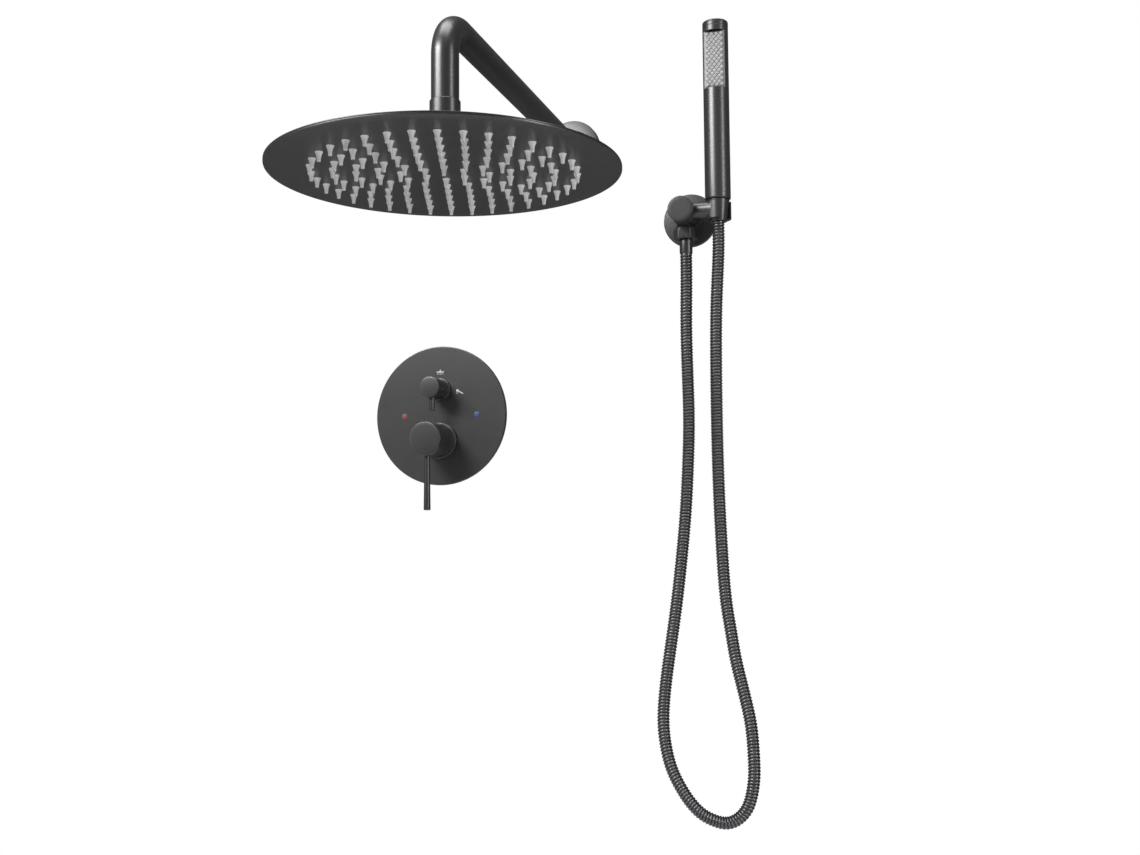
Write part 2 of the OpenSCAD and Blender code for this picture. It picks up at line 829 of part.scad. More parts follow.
module hose_outlet_tail() {
  color(brass) translate([holder_x, -holder_d, 0]) difference() {
    union() {
      rod(nipple_r - play, cone_low + cone_floor, cone_low + cone_floor + tail_flange_t);
      rod(tail_r, cone_low + 0.5, cone_low + cone_floor + 1);
    }
    rod(hose_bore_r, cone_low, cone_top);
  }
}

module cone_nut_washer() {
  low = cone_low + cone_floor + tail_flange_t;
  color(soft_black) translate([holder_x, -holder_d, 0]) tube(nipple_r - play, hose_bore_r, low, low + 1);
}

module handset_tail() {
  low = cone_low + cone_floor + tail_flange_t + 1 + joint_gap;
  color(brass) translate([holder_x, -holder_d, 0]) difference() {
    union() {
      rod(nipple_r - joint_gap, low, wand_low);
      rod(wand_in_r - play, wand_low, wand_low + tail_plug_h);
    }
    rod(water_r, low - 1, wand_low + tail_plug_h + 1);
  }
}

module handset_tube() {
  color(black) translate([holder_x, -holder_d, 0]) difference() {
    chamfered_tube_end();
    rod(wand_in_r, wand_low - 1, wand_top - cap_t + 1);
    translate([-wand_r, -wand_r - 1, window_low]) cube([wand_dia, wand_r + 1 - window_face, window_h]);
  }
}

// The handset's round skin, with its lower edge chamfered toward the cone nut
module chamfered_tube_end() {
  rotate_extrude() polygon([
    [0, wand_low], [wand_r - 1.2, wand_low], [wand_r, wand_low + 1.2], [wand_r, wand_top - cap_t],
    [0, wand_top - cap_t]
  ]);
}

module handset_core() {
  color(nylon) translate([holder_x, -holder_d, 0])
    tube(core_r, hose_bore_r, wand_low + tail_plug_h, wand_top - cap_t - cap_plug);
}

module handset_spray_plate() {
  half_w = sqrt(wand_r * wand_r - window_face * window_face) - 0.3;
  inner_w = sqrt(wand_in_r * wand_in_r - window_face * window_face) - 0.2;
  mid_z = (window_low + window_top) / 2;
  plate_h = window_h - 2 * spray_gap;
  color(silicone) translate([holder_x, -holder_d - window_face, mid_z]) {
    translate([-half_w, -spray_step, -plate_h / 2]) cube([2 * half_w, spray_step, plate_h]);
    translate([-inner_w, -1, -plate_h / 2]) cube([2 * inner_w, spray_t, plate_h]);
    translate([0, -spray_step, 0]) rotate([90, 0, 0]) spray_grid();
  }
}

// Staggered rows of small nozzles
module spray_grid() {
  for (row = [0 : 2 * spray_rows - 2])
    for (col = [0 : spray_cols - 1 - row % 2])
      translate([
        (col - (spray_cols - 1 - row % 2) / 2) * spray_x_pitch,
        (row - spray_rows + 1) * spray_z_pitch / 2,
        -0.1
      ]) cylinder(r1 = spray_cone_r, r2 = spray_tip_r, h = spray_cone_h, $fn = 16);
}

module handset_cap() {
  color(black) translate([holder_x, -holder_d, 0]) {
    chamfered_disc(wand_r, wand_top - cap_t, wand_top, 1);
    rod(wand_in_r - play, wand_top - cap_t - cap_plug, wand_top - cap_t);
  }
}

shower_arm();
arm_flange();
arm_flange_seal();
ball_stem();
inlet_strainer();
ball_seal();
ball_glide();
ball_cup();
ball_nut();
hub_lock_nut();
hub_seal();
head_cover();
head_face_plate();
nozzle_mat();
valve_body();
mixer_cartridge();
cartridge_nut();
diverter_cartridge();
diverter_nut();
trim_plate();
trim_seal();
mixer_sleeve();
mixer_sleeve_seal();
diverter_sleeve();
diverter_sleeve_seal();
hot_mark();
cold_mark();
rain_mark();
hand_mark();
mixer_turret();
turret_pin();
mixer_spindle();
mixer_knob();
mixer_lever();
mixer_set_screw();
diverter_spindle();
diverter_knob();
diverter_pin();
diverter_set_screw();
bracket_body();
bracket_flange();
bracket_flange_seal();
holder_arm();
check_valve();
hose_hex_nut();
hex_nut_washer();
hose_inlet_tail();
hose_ferrule();
hose_tube();
hose_cone_nut();
hose_outlet_tail();
cone_nut_washer();
handset_tail();
handset_tube();
handset_core();
handset_spray_plate();
handset_cap();
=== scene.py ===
"""Blender scene of a concealed shower set: rain head, mixer trim and hand shower.

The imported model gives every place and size. The classes below build the visible
pieces again as smooth surfaces, dress all of them in their finishes, and set up
the studio. Lengths inside the shape methods are in millimetres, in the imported
model's own frame, and turn into metres when a mesh is made.
"""

import json
import logging
import math
from dataclasses import dataclass, field
from enum import Enum
from typing import Callable, Iterable, Sequence

import bmesh
import bpy
import numpy as np
from mathutils import Matrix, Vector


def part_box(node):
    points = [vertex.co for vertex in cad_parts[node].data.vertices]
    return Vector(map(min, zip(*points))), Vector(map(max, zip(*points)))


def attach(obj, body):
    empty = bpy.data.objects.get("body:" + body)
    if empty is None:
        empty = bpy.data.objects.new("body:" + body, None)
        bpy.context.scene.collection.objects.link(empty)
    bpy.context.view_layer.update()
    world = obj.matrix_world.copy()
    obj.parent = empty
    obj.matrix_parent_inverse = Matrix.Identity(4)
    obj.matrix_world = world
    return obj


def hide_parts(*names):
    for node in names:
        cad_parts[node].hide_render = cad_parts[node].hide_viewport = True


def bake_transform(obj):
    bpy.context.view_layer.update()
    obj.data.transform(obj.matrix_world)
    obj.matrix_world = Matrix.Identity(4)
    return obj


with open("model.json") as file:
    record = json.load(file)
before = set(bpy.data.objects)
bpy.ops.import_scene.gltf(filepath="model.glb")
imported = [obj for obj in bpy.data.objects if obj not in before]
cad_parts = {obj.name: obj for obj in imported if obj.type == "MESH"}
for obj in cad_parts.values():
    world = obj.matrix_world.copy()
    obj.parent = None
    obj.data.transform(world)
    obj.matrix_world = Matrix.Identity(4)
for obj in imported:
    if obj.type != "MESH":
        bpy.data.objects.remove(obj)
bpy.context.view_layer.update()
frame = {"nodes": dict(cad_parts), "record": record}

LOG = logging.getLogger("shower")
MM = 0.001
MERGE_DISTANCE = 2e-6

Triple = tuple[float, float, float]
Colour = Triple
Profile = np.ndarray
Move = Callable[[np.ndarray], np.ndarray]

# Half-inch pipe thread: outer radius, root radius, height of one turn, and the radius of the turned end
THREAD_R = 10.48
THREAD_ROOT = 9.3
THREAD_PITCH = 1.814
THREAD_LIP = 9.9


# Shader building

class Signal:
    """One value flowing through a material, with arithmetic on it."""

    def __init__(self, book: "Book", socket: bpy.types.NodeSocket) -> None:
        """Wraps a socket.

        Args:
            book: the material's node book.
            socket: the output socket that carries the value.
        """
        self.book = book
        self.socket = socket

    def _join(self, kind: str, left: object, right: object) -> "Signal":
        """Adds a Math node of the named operation between two values."""
        return self.book.node("ShaderNodeMath", {"operation": kind}, {0: left, 1: right})

    def __add__(self, other: object) -> "Signal":
        """The sum of both."""
        return self._join("ADD", self, other)

    __radd__ = __add__

    def __sub__(self, other: object) -> "Signal":
        """This less the other."""
        return self._join("SUBTRACT", self, other)

    def __rsub__(self, other: object) -> "Signal":
        """The other less this."""
        return self._join("SUBTRACT", other, self)

    def __mul__(self, other: object) -> "Signal":
        """The product of both."""
        return self._join("MULTIPLY", self, other)

    __rmul__ = __mul__

    def clamped(self) -> "Signal":
        """This value held between 0 and 1."""
        return self.book.node("ShaderNodeClamp", {}, {"Value": self})


class Book:
    """The node tree of one material, with short ways to add to it."""

    def __init__(self, name: str) -> None:
        """Starts an empty node tree with a Principled shader.

        Args:
            name: the material's name.
        """
        self.material = bpy.data.materials.new(name)
        self.material.use_nodes = True
        self.tree = self.material.node_tree
        self.tree.nodes.clear()
        output = self.tree.nodes.new("ShaderNodeOutputMaterial")
        self.shader = self.tree.nodes.new("ShaderNodeBsdfPrincipled")
        self.tree.links.new(self.shader.outputs[0], output.inputs["Surface"])

    def node(self, kind: str, settings: dict[str, object], inputs: dict[str | int, object],
             output: str | int = 0) -> Signal:
        """Adds any node.

        Args:
            kind: the node's type, such as ShaderNodeTexNoise.
            settings: properties that are set first.
            inputs: socket name or number to a value or a Signal.
            output: the output socket that is wanted.

        Returns:
            The wanted output as a Signal.
        """
        made = self.tree.nodes.new(kind)
        for key, value in settings.items():
            setattr(made, key, value)
        for key, value in inputs.items():
            self._feed(made.inputs[key], value)
        return Signal(self, made.outputs[output])

    def _feed(self, socket: bpy.types.NodeSocket, value: object) -> None:
        """Links a Signal to a socket, or sets the socket's own value."""
        if isinstance(value, Signal):
            self.tree.links.new(value.socket, socket)
        elif isinstance(value, tuple) and socket.type == "RGBA":
            socket.default_value = (*value[:3], 1.0)
        else:
            socket.default_value = value

    def set(self, **inputs: object) -> None:
        """Feeds the Principled shader's sockets; underscores stand for spaces."""
        for key, value in inputs.items():
            self._feed(self.shader.inputs[key.replace("_", " ")], value)

    def place(self, stretch: Triple = (1.0, 1.0, 1.0)) -> Signal:
        """Object coordinates, stretched by a factor along each axis."""
        where = self.node("ShaderNodeTexCoord", {}, {}, "Object")
        if stretch == (1.0, 1.0, 1.0):
            return where
        return self.node("ShaderNodeMapping", {}, {"Vector": where, "Scale": stretch})

    def noise(self, size_mm: float, detail: float = 3.0, where: Signal | None = None) -> Signal:
        """A soft noise from 0 to 1.

        Args:
            size_mm: how wide one patch is.
            detail: how many finer layers it has.
            where: the coordinates, or None for Object coordinates.

        Returns:
            The noise's value.
        """
        spot = where or self.place()
        return self.node("ShaderNodeTexNoise", {}, {"Vector": spot, "Scale": 1.0 / (size_mm * MM),
                                                   "Detail": detail, "Roughness": 0.55})

    def cells(self, size_mm: float) -> Signal:
        """The distance to the nearest of many scattered points, for mould grain."""
        return self.node("ShaderNodeTexVoronoi", {}, {"Vector": self.place(), "Scale": 1.0 / (size_mm * MM)})

    def blend(self, amount: Signal, low: object, high: object) -> Signal:
        """A colour between low and high."""
        return self.node("ShaderNodeMix", {"data_type": "RGBA"}, {0: amount, 6: low, 7: high}, 2)

    def bump(self, height: Signal, depth_mm: float) -> None:
        """Feeds a bump of the given depth into the shader's normal."""
        inputs = {"Height": height, "Distance": depth_mm * MM, "Strength": 1.0}
        self.set(Normal=self.node("ShaderNodeBump", {}, inputs, "Normal"))


def tint(colour: Colour, factor: float) -> Colour:
    """A colour made lighter or darker by a factor."""
    return tuple(min(1.0, part * factor) for part in colour)


@dataclass(frozen=True)
class Finish:
    """A finish whose colour and gloss drift a little over the surface.

    Attributes:
        name: the material's name.
        slot: the record's material slot that it belongs to; not used.
        colour: base colour, linear.
        drift: how far the colour moves from the base, as a factor.
        drift_mm: width of one patch of colour.
        roughness: mean roughness.
        spread: how far the roughness moves each way.
        grain_mm: width of the surface grain.
        grain_depth_mm: depth of the surface grain.
        metallic: 0 for paint and plastic, 1 for bare metal.
        specular: strength of the clear reflection.
    """

    name: str
    slot: str
    colour: Colour
    drift: float = 0.12
    drift_mm: float = 18.0
    roughness: float = 0.45
    spread: float = 0.05
    grain_mm: float = 0.5
    grain_depth_mm: float = 0.01
    metallic: float = 0.0
    specular: float = 0.5

    def material(self) -> bpy.types.Material:
        """Makes the finish as a material, or gives the one made before."""
        known = bpy.data.materials.get(self.name)
        if known:
            return known
        book = Book(self.name)
        book.set(Metallic=self.metallic, Specular_IOR_Level=self.specular)
        self.dress(book)
        book.material.diffuse_color = (*self.colour, 1.0)
        return book.material

    def dress(self, book: Book) -> None:
        """Feeds colour, roughness and bump."""
        patches = book.noise(self.drift_mm)
        book.set(Base_Color=self.drifted(book, patches))
        book.set(Roughness=self.roughness - self.spread + 2 * self.spread * book.noise(self.drift_mm / 3))
        book.bump(book.noise(self.grain_mm, 2.0), self.grain_depth_mm)

    def drifted(self, book: Book, amount: Signal) -> Signal:
        """The base colour between its darker and its lighter side."""
        return book.blend(amount, tint(self.colour, 1 - self.drift), tint(self.colour, 1 + self.drift))


@dataclass(frozen=True)
class PowderCoat(Finish):
    """Matte powder coat: orange peel over a fine grit, with a trace of dust and rubbed spots."""

    peel_mm: float = 1.6
    peel_depth_mm: float = 0.012
    dust: float = 0.25

    def dress(self, book: Book) -> None:
        """Feeds colour with fine speckle, dull and rubbed patches, and two sizes of bump."""
        speckle = book.noise(0.35, 1.0)
        patches = book.noise(self.drift_mm)
        fine = self.drifted(book, (patches * 0.6 + speckle * 0.4).clamped())
        dusty = ((book.noise(55.0, 4.0) - 0.52) * 3.0).clamped() * self.dust
        book.set(Base_Color=book.blend(dusty, fine, tint(self.colour, 1.9)))
        rubbed = ((book.noise(26.0, 3.0) - 0.6) * 4.0).clamped()
        rough = self.roughness + (speckle - 0.5) * self.spread * 2 + dusty * 0.08 - rubbed * 0.05
        book.set(Roughness=rough)
        peel = book.noise(self.peel_mm, 1.0) * (self.peel_depth_mm / self.grain_depth_mm)
        book.bump(peel + book.noise(self.grain_mm, 2.0), self.grain_depth_mm)


@dataclass(frozen=True)
class MouldedPlastic(Finish):
    """Moulded plastic with an even mould grain."""

    def dress(self, book: Book) -> None:
        """Feeds colour, roughness that follows the grain, and the grain's bump."""
        grain = book.cells(self.grain_mm)
        book.set(Base_Color=self.drifted(book, book.noise(self.drift_mm)))
        rough = self.roughness + (grain - 0.5) * self.spread
        book.set(Roughness=rough + (book.noise(9.0) - 0.5) * self.spread)
        book.bump(grain, self.grain_depth_mm)


@dataclass(frozen=True)
class TurnedMetal(Finish):
    """Bare metal with tool marks drawn out across one axis and a few stains."""

    stretch: Triple = (1.0, 1.0, 14.0)
    stain: float = 0.35

    def dress(self, book: Book) -> None:
        """Feeds stained colour, roughness along the tool marks, and their bump."""
        marks = book.noise(2.2, 4.0, book.place(self.stretch))
        stains = ((book.noise(12.0, 5.0) - 0.5) * 3.0).clamped() * self.stain
        clean = self.drifted(book, marks)
        book.set(Base_Color=book.blend(stains, clean, tint(self.colour, 0.55)))
        book.set(Roughness=self.roughness + (marks - 0.5) * self.spread * 2 + stains * 0.2)
        book.bump(marks, self.grain_depth_mm)


@dataclass(frozen=True)
class HoseSkin(Finish):
    """Dark plated steel strip: bright on the rubbed crests, dull in the grooves, whose colour is darkened as
    painted shade.
    """

    def dress(self, book: Book) -> None:
        """Feeds colour and roughness by the rib height stored on the mesh. The colour darkened in the grooves
        is painted shade, and the lighter crests are rubbed wear.
        """
        crest = book.node("ShaderNodeAttribute", {"attribute_name": "rib"}, {}, "Fac")
        rubbed = (crest * (0.6 + 0.6 * book.noise(7.0, 3.0))).clamped()
        # painted shade: the colour falls to a quarter of the base in the grooves, and rises on the rubbed
        # crests
        book.set(Base_Color=book.blend(rubbed, tint(self.colour, 0.25), tint(self.colour, 1.6)))
        book.set(Roughness=self.roughness + (1 - rubbed) * 0.25 + (book.noise(1.2) - 0.5) * self.spread)
        book.bump(book.noise(self.grain_mm, 3.0), self.grain_depth_mm)


@dataclass(frozen=True)
class Silicone(Finish):
    """Soft silicone: a little chalky, with lime specks near the jets."""

    chalk: float = 0.3

    def dress(self, book: Book) -> None:
        """Feeds chalky colour, soft roughness and a faint bump."""
        chalky = ((book.noise(3.0, 4.0) - 0.5) * 2.5).clamped() * self.chalk
        book.set(Base_Color=book.blend(chalky, self.drifted(book, book.noise(self.drift_mm)),
                                       tint(self.colour, 1.3)))
        book.set(Roughness=self.roughness + chalky * 0.2 + (book.noise(0.8) - 0.5) * self.spread)
        book.bump(book.noise(self.grain_mm, 2.0), self.grain_depth_mm)


BLACK_COAT = PowderCoat("matte_black_coat", "matte_black", (0.0165, 0.0165, 0.0167), roughness=0.33,
                        drift=0.2, grain_depth_mm=0.014)
BLACK_ABS = PowderCoat("black_handset_shell", "black_abs", (0.018, 0.018, 0.0182), roughness=0.33, dust=0.1,
                       peel_depth_mm=0.006)
JET_PLATE = MouldedPlastic("jet_plate_grey", "silicone", (0.11, 0.11, 0.112), roughness=0.42)
HOSE_STEEL = HoseSkin("gunmetal_hose_strip", "hose_black", (0.068, 0.069, 0.072), roughness=0.26,
                      metallic=0.85, grain_mm=0.3, grain_depth_mm=0.004)
SEAL_RUBBER = Finish("black_seal_rubber", "seal_rubber", (0.012, 0.012, 0.012), roughness=0.65,
                     grain_mm=0.25, grain_depth_mm=0.015)
NOZZLE_SILICONE = Silicone("grey_silicone", "silicone", (0.60, 0.60, 0.605), roughness=0.5, drift=0.06)
JET_SILICONE = Silicone("pale_jet_silicone", "silicone", (0.36, 0.36, 0.365), roughness=0.5, drift=0.06)
# painted shade: a near-black finish put in the gap round each nozzle's foot and inside every jet hole
JET_SHADOW = Finish("painted_nozzle_gap_shade", "seal_rubber", (0.006, 0.006, 0.006), roughness=0.8)
BARE_BRASS = TurnedMetal("turned_brass", "brass", (0.62, 0.42, 0.17), roughness=0.32, metallic=1.0,
                         grain_depth_mm=0.012)
STAINLESS = TurnedMetal("stainless", "stainless", (0.55, 0.55, 0.56), roughness=0.28, metallic=1.0, stain=0.1)
WHITE_NYLON = MouldedPlastic("white_nylon", "white_nylon", (0.72, 0.70, 0.63), roughness=0.5, grain_mm=0.6,
                             grain_depth_mm=0.02)
RED_ENAMEL = MouldedPlastic("red_enamel", "hot_red", (0.10, 0.014, 0.013), roughness=0.45, grain_mm=1.0,
                            grain_depth_mm=0.004)
BLUE_ENAMEL = MouldedPlastic("blue_enamel", "cold_blue", (0.010, 0.024, 0.085), roughness=0.45, grain_mm=1.0,
                             grain_depth_mm=0.004)
WHITE_INK = MouldedPlastic("white_ink", "mark_white", (0.30, 0.30, 0.30), roughness=0.5, grain_mm=0.3,
                           grain_depth_mm=0.004)


# Surfaces

class Facing(Enum):
    """Which way a shape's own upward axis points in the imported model's frame."""

    UP = "up"
    DOWN = "down"
    ROOM = "room"
    WALL = "wall"

    def turn(self, points: np.ndarray) -> np.ndarray:
        """Turns points from a shape's own axes into the frame's axes."""
        x, y, z = np.moveaxis(points, -1, 0)
        axes = {Facing.UP: (x, y, z), Facing.DOWN: (x, -y, -z),
                Facing.ROOM: (x, -z, y), Facing.WALL: (x, z, -y)}
        return np.stack(axes[self], -1)


def mm(vector: Iterable[float]) -> np.ndarray:
    """A place in metres as an array in millimetres."""
    return np.array(list(vector)) / MM


def rounded(corners: Sequence[Triple], steps: int = 5) -> Profile:
    """A profile whose corners are rounded by arcs.

    Each corner (r, z, radius) is cut back along both sides by its radius times the
    tangent of half the turn, and the two cuts are joined by an arc round the point
    that is one radius from both sides.

    Args:
        corners: radius from the axis, height, and rounding of each corner.
        steps: points on each arc.

    Returns:
        The profile as rows of (r, z).
    """
    spots = np.array([corner[:2] for corner in corners], float)
    out: list[np.ndarray] = []
    for index, spot in enumerate(spots):
        radius = corners[index][2]
        if radius <= 0 or index in (0, len(spots) - 1):
            out.append(spot[None])
            continue
        back = spots[index - 1] - spot
        ahead = spots[index + 1] - spot
        back /= np.linalg.norm(back)
        ahead /= np.linalg.norm(ahead)
        half = 0.5 * math.acos(float(np.clip(back @ ahead, -1, 1)))
        cut = radius / math.tan(half)
        middle = (back + ahead) / np.linalg.norm(back + ahead)
        centre = spot + middle * radius / math.sin(half)
        start, end = spot + back * cut - centre, spot + ahead * cut - centre
        t = np.linspace(0, 1, steps)[:, None]
        sweep = math.pi - 2 * half
        arc = (np.sin((1 - t) * sweep) * start + np.sin(t * sweep) * end) / math.sin(sweep)
        out.append(centre + arc)
    return np.concatenate(out)


def revolved(profile: Profile, around: int = 96) -> np.ndarray:
    """A profile turned about its axis: (r cos a, r sin a, z) for every point and angle a.

    Args:
        profile: rows of (r, z).
        around: number of steps round the axis.

    Returns:
        A grid of points, profile by angle.
    """
    return rings(profile[:, :1], profile[:, 1], np.arange(around) * 2 * math.pi / around)


def rings(r: np.ndarray, z: np.ndarray, angle: np.ndarray) -> np.ndarray:
    """Rings of points: one radius for each height and angle, one height for each ring."""
    return np.stack([r * np.cos(angle), r * np.sin(angle), z[:, None] + 0 * angle], -1)


def grid_faces(rows: int, columns: int, wrap: bool) -> np.ndarray:
    """The quads of a grid, whose columns join up again if wrap is set."""
    row, column = np.meshgrid(np.arange(rows - 1), np.arange(columns if wrap else columns - 1), indexing="ij")
    following = (column + 1) % columns
    quads = [row * columns + column, row * columns + following, (row + 1) * columns + following,
             (row + 1) * columns + column]
    return np.stack(quads, -1).reshape(-1, 4)


class Piece:
    """Gathers surfaces in millimetres and makes one object of them."""

    def __init__(self, name: str) -> None:
        """Starts an empty piece.

        Args:
            name: the object's name.
        """
        self.name = name
        self.points: list[np.ndarray] = []
        self.faces: list[np.ndarray] = []
        self.skins: list[np.ndarray] = []
        self.count = 0

    def add_grid(self, points: np.ndarray, wrap: bool = True, skin: int = 0) -> "Piece":
        """Adds one grid of points.

        Args:
            points: rows by columns by three.
            wrap: whether the columns join up again.
            skin: material number of all its faces.

        Returns:
            This piece.
        """
        rows, columns = points.shape[:2]
        faces = grid_faces(rows, columns, wrap)
        return self._take(points.reshape(-1, 3), faces, np.full(len(faces), skin))

    def add_copies(self, points: np.ndarray, places: np.ndarray, skins: np.ndarray | None = None) -> "Piece":
        """Adds a wrapped grid once at each of many places.

        Args:
            points: the grid, rows by columns by three.
            places: where the copies go, one row each.
            skins: material number of each row of faces.

        Returns:
            This piece.
        """
        rows, columns = points.shape[:2]
        one = grid_faces(rows, columns, True)
        each = np.zeros(rows - 1, int) if skins is None else skins
        total = rows * columns
        every = (one[None] + (np.arange(len(places)) * total)[:, None, None]).reshape(-1, 4)
        spots = (points.reshape(1, -1, 3) + places[:, None]).reshape(-1, 3)
        return self._take(spots, every, np.tile(np.repeat(each, columns), len(places)))

    def add_polygon(self, outline: np.ndarray) -> "Piece":
        """Adds one flat face with any number of corners, as a fan from its middle."""
        middle = outline.mean(0)
        count = len(outline)
        ring = np.arange(count)
        fan = np.stack([ring, (ring + 1) % count, np.full(count, count), np.full(count, count)], -1)
        return self._take(np.vstack([outline, middle]), fan, np.zeros(count, int))

    def _take(self, points: np.ndarray, faces: np.ndarray, skins: np.ndarray) -> "Piece":
        """Keeps points, faces and material numbers."""
        self.points.append(points)
        self.faces.append(faces + self.count)
        self.skins.append(skins)
        self.count += len(points)
        return self

    def build(self, finishes: Sequence[Finish], body: str | None, replaces: Sequence[str] = (),
              sharp_deg: float = 32.0, where: Move | None = None,
              attribute: tuple[str, np.ndarray] | None = None, merge: bool = True) -> bpy.types.Object:
        """Makes the object, merges its seams and poles, and turns its faces outward.

        Args:
            finishes: the finishes, by material number.
            body: the body that it rides on, or None.
            replaces: CAD nodes that it stands for.
            sharp_deg: edges that turn more than this stay sharp.
            where: turns and places the points, still in millimetres.
            attribute: a name and one value for each point.
            merge: whether doubles are merged.

        Returns:
            The object.
        """
        points = np.concatenate(self.points)
        if where:
            points = where(points)
        faces = np.concatenate(self.faces)
        mesh = bpy.data.meshes.new(self.name)
        mesh.from_pydata((points * MM).tolist(), [], [list(dict.fromkeys(face)) for face in faces.tolist()])
        mesh.polygons.foreach_set("material_index", np.concatenate(self.skins).astype(np.int32))
        if attribute:
            layer = mesh.attributes.new(attribute[0], "FLOAT", "POINT")
            layer.data.foreach_set("value", attribute[1].astype(np.float32))
        tidy_mesh(mesh, merge)
        return enlisted(self.name, mesh, finishes, body, replaces, sharp_deg)


def enlisted(name: str, mesh: bpy.types.Mesh, finishes: Sequence[Finish], body: str | None,
             replaces: Sequence[str], sharp_deg: float = 32.0) -> bpy.types.Object:
    """Makes a mesh an object with its finishes, body and replaced nodes.

    Args:
        name: the object's name.
        mesh: its mesh.
        finishes: its finishes, by material number.
        body: the body that it rides on, or None.
        replaces: CAD nodes that it stands for.
        sharp_deg: edges that turn more than this stay sharp.

    Returns:
        The object.
    """
    mesh.shade_smooth()
    mesh.set_sharp_from_angle(angle=math.radians(sharp_deg))
    for finish in finishes:
        mesh.materials.append(finish.material())
    made = bpy.data.objects.new(name, mesh)
    bpy.context.scene.collection.objects.link(made)
    if body:
        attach(made, body)
    if replaces:
        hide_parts(*replaces)
    LOG.info("%s: %d faces on %s", name, len(mesh.polygons), body)
    return made


def tidy_mesh(mesh: bpy.types.Mesh, merge: bool = True) -> None:
    """Merges points that coincide, drops faces without area and turns normals outward."""
    work = bmesh.new()
    work.from_mesh(mesh)
    if merge:
        bmesh.ops.remove_doubles(work, verts=work.verts, dist=MERGE_DISTANCE)
        bmesh.ops.dissolve_degenerate(work, edges=work.edges, dist=1e-7)
    bmesh.ops.recalc_face_normals(work, faces=work.faces)
    work.to_mesh(mesh)
    work.free()


def softened(node: str, finish: Finish, width_mm: float = 0.4, segments: int = 2) -> bpy.types.Object:
    """A copy of a CAD node with its sharp edges rounded.

    Args:
        node: the CAD node.
        finish: its finish.
        width_mm: how far the rounding cuts back from an edge.
        segments: faces across the rounding.

    Returns:
        The new object, which stands for the node.
    """
    mesh = frame["nodes"][node].data.copy()
    work = bmesh.new()
    work.from_mesh(mesh)
    bmesh.ops.remove_doubles(work, verts=work.verts, dist=MERGE_DISTANCE)
    bmesh.ops.dissolve_limit(work, angle_limit=math.radians(0.5), verts=work.verts, edges=work.edges)
    work.to_mesh(mesh)
    work.free()
    mesh.materials.clear()
    made = enlisted("soft_" + node, mesh, [finish], body_of(node), [node])
    bevel = made.modifiers.new("rounding", "BEVEL")
    bevel.width = width_mm * MM
    bevel.segments = segments
    bevel.limit_method = "ANGLE"
    bevel.angle_limit = math.radians(40)
    bevel.harden_normals = True
    return made


def body_of(node: str) -> str:
    """The body that a CAD node belongs to."""
    bodies = frame["record"]["behaviour"]["bodies"]
    return next(body for body, members in bodies.items() if node in members)


def dress(finish: Finish, *nodes: str) -> None:
    """Gives CAD nodes a finish on their own material slots."""
    for node in nodes:
        for slot in frame["nodes"][node].material_slots:
            slot.material = finish.material()
        LOG.info("%s dressed in %s", node, finish.name)


@dataclass(frozen=True)
class Bounds:
    """A CAD node's box in millimetres.

    Attributes:
        low: its lowest corner.
        high: its highest corner.
    """

    low: np.ndarray
    high: np.ndarray

    @property
    def radius(self) -> float:
        """Half the width."""
        return (self.high[0] - self.low[0]) / 2

    @property
    def depth(self) -> float:
        """The size away from the wall."""
        return self.high[1] - self.low[1]

    @property
    def height(self) -> float:
        """The upright size."""
        return self.high[2] - self.low[2]

    @property
    def middle(self) -> np.ndarray:
        """The centre."""
        return (self.low + self.high) / 2

    @property
    def front(self) -> float:
        """How far the front stands out from the wall."""
        return -self.low[1]

    @property
    def back(self) -> float:
        """How far the back stands out from the wall."""
        return -self.high[1]


def span(node: str) -> Bounds:
    """A node's box in millimetres."""
    return Bounds(*map(mm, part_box(node)))


def placed(facing: Facing, origin: Sequence[float]) -> Move:
    """A function that turns points and then moves them to an origin."""
    start = np.array(origin, float)
    return lambda points: facing.turn(points) + start


def turned(name: str, node: str, finish: Finish, corners: Sequence[Triple], where: Move, around: int = 128,
           steps: int = 5) -> bpy.types.Object:
    """A turned piece that stands for one CAD node and rides on its body.

    Args:
        name: the piece's name.
        node: the CAD node.
        finish: its finish.
        corners: its outline, as rounded() takes it.
        where: turns and places it.
        around: steps round the axis.
        steps: points on each rounding.

    Returns:
        The object.
    """
    piece = Piece(name).add_grid(revolved(rounded(corners, steps), around))
    return piece.build([finish], body_of(node), [node], where=where)


def thread_skin(crest: float, low: float, high: float, around: int = 48) -> np.ndarray:
    """A screw thread's skin.

    The radius is the crest's, less the thread's depth times a triangle wave of the
    height divided by the pitch less the angle as a fraction of a turn. The depth
    fades to nothing at both ends.

    Args:
        crest: outer radius.
        low: where the thread starts.
        high: where it ends.
        around: steps round the axis.

    Returns:
        A grid of points, height by angle.
    """
    rows = int(round((high - low) / THREAD_PITCH * 6)) + 1
    height = np.linspace(low, high, rows)[:, None]
    angle = (np.arange(around) * 2 * math.pi / around)[None]
    phase = (height / THREAD_PITCH - angle / (2 * math.pi)) % 1
    wave = 1 - np.abs(2 * phase - 1)
    fade = np.clip(np.minimum(height - low, high - height) / THREAD_PITCH, 0, 1)
    r = crest - (crest - THREAD_ROOT) * wave * fade - (crest - THREAD_ROOT) * 0.3 * (1 - fade)
    return np.stack([r * np.cos(angle), r * np.sin(angle), height + 0 * angle], -1)


# Rain head on its arm

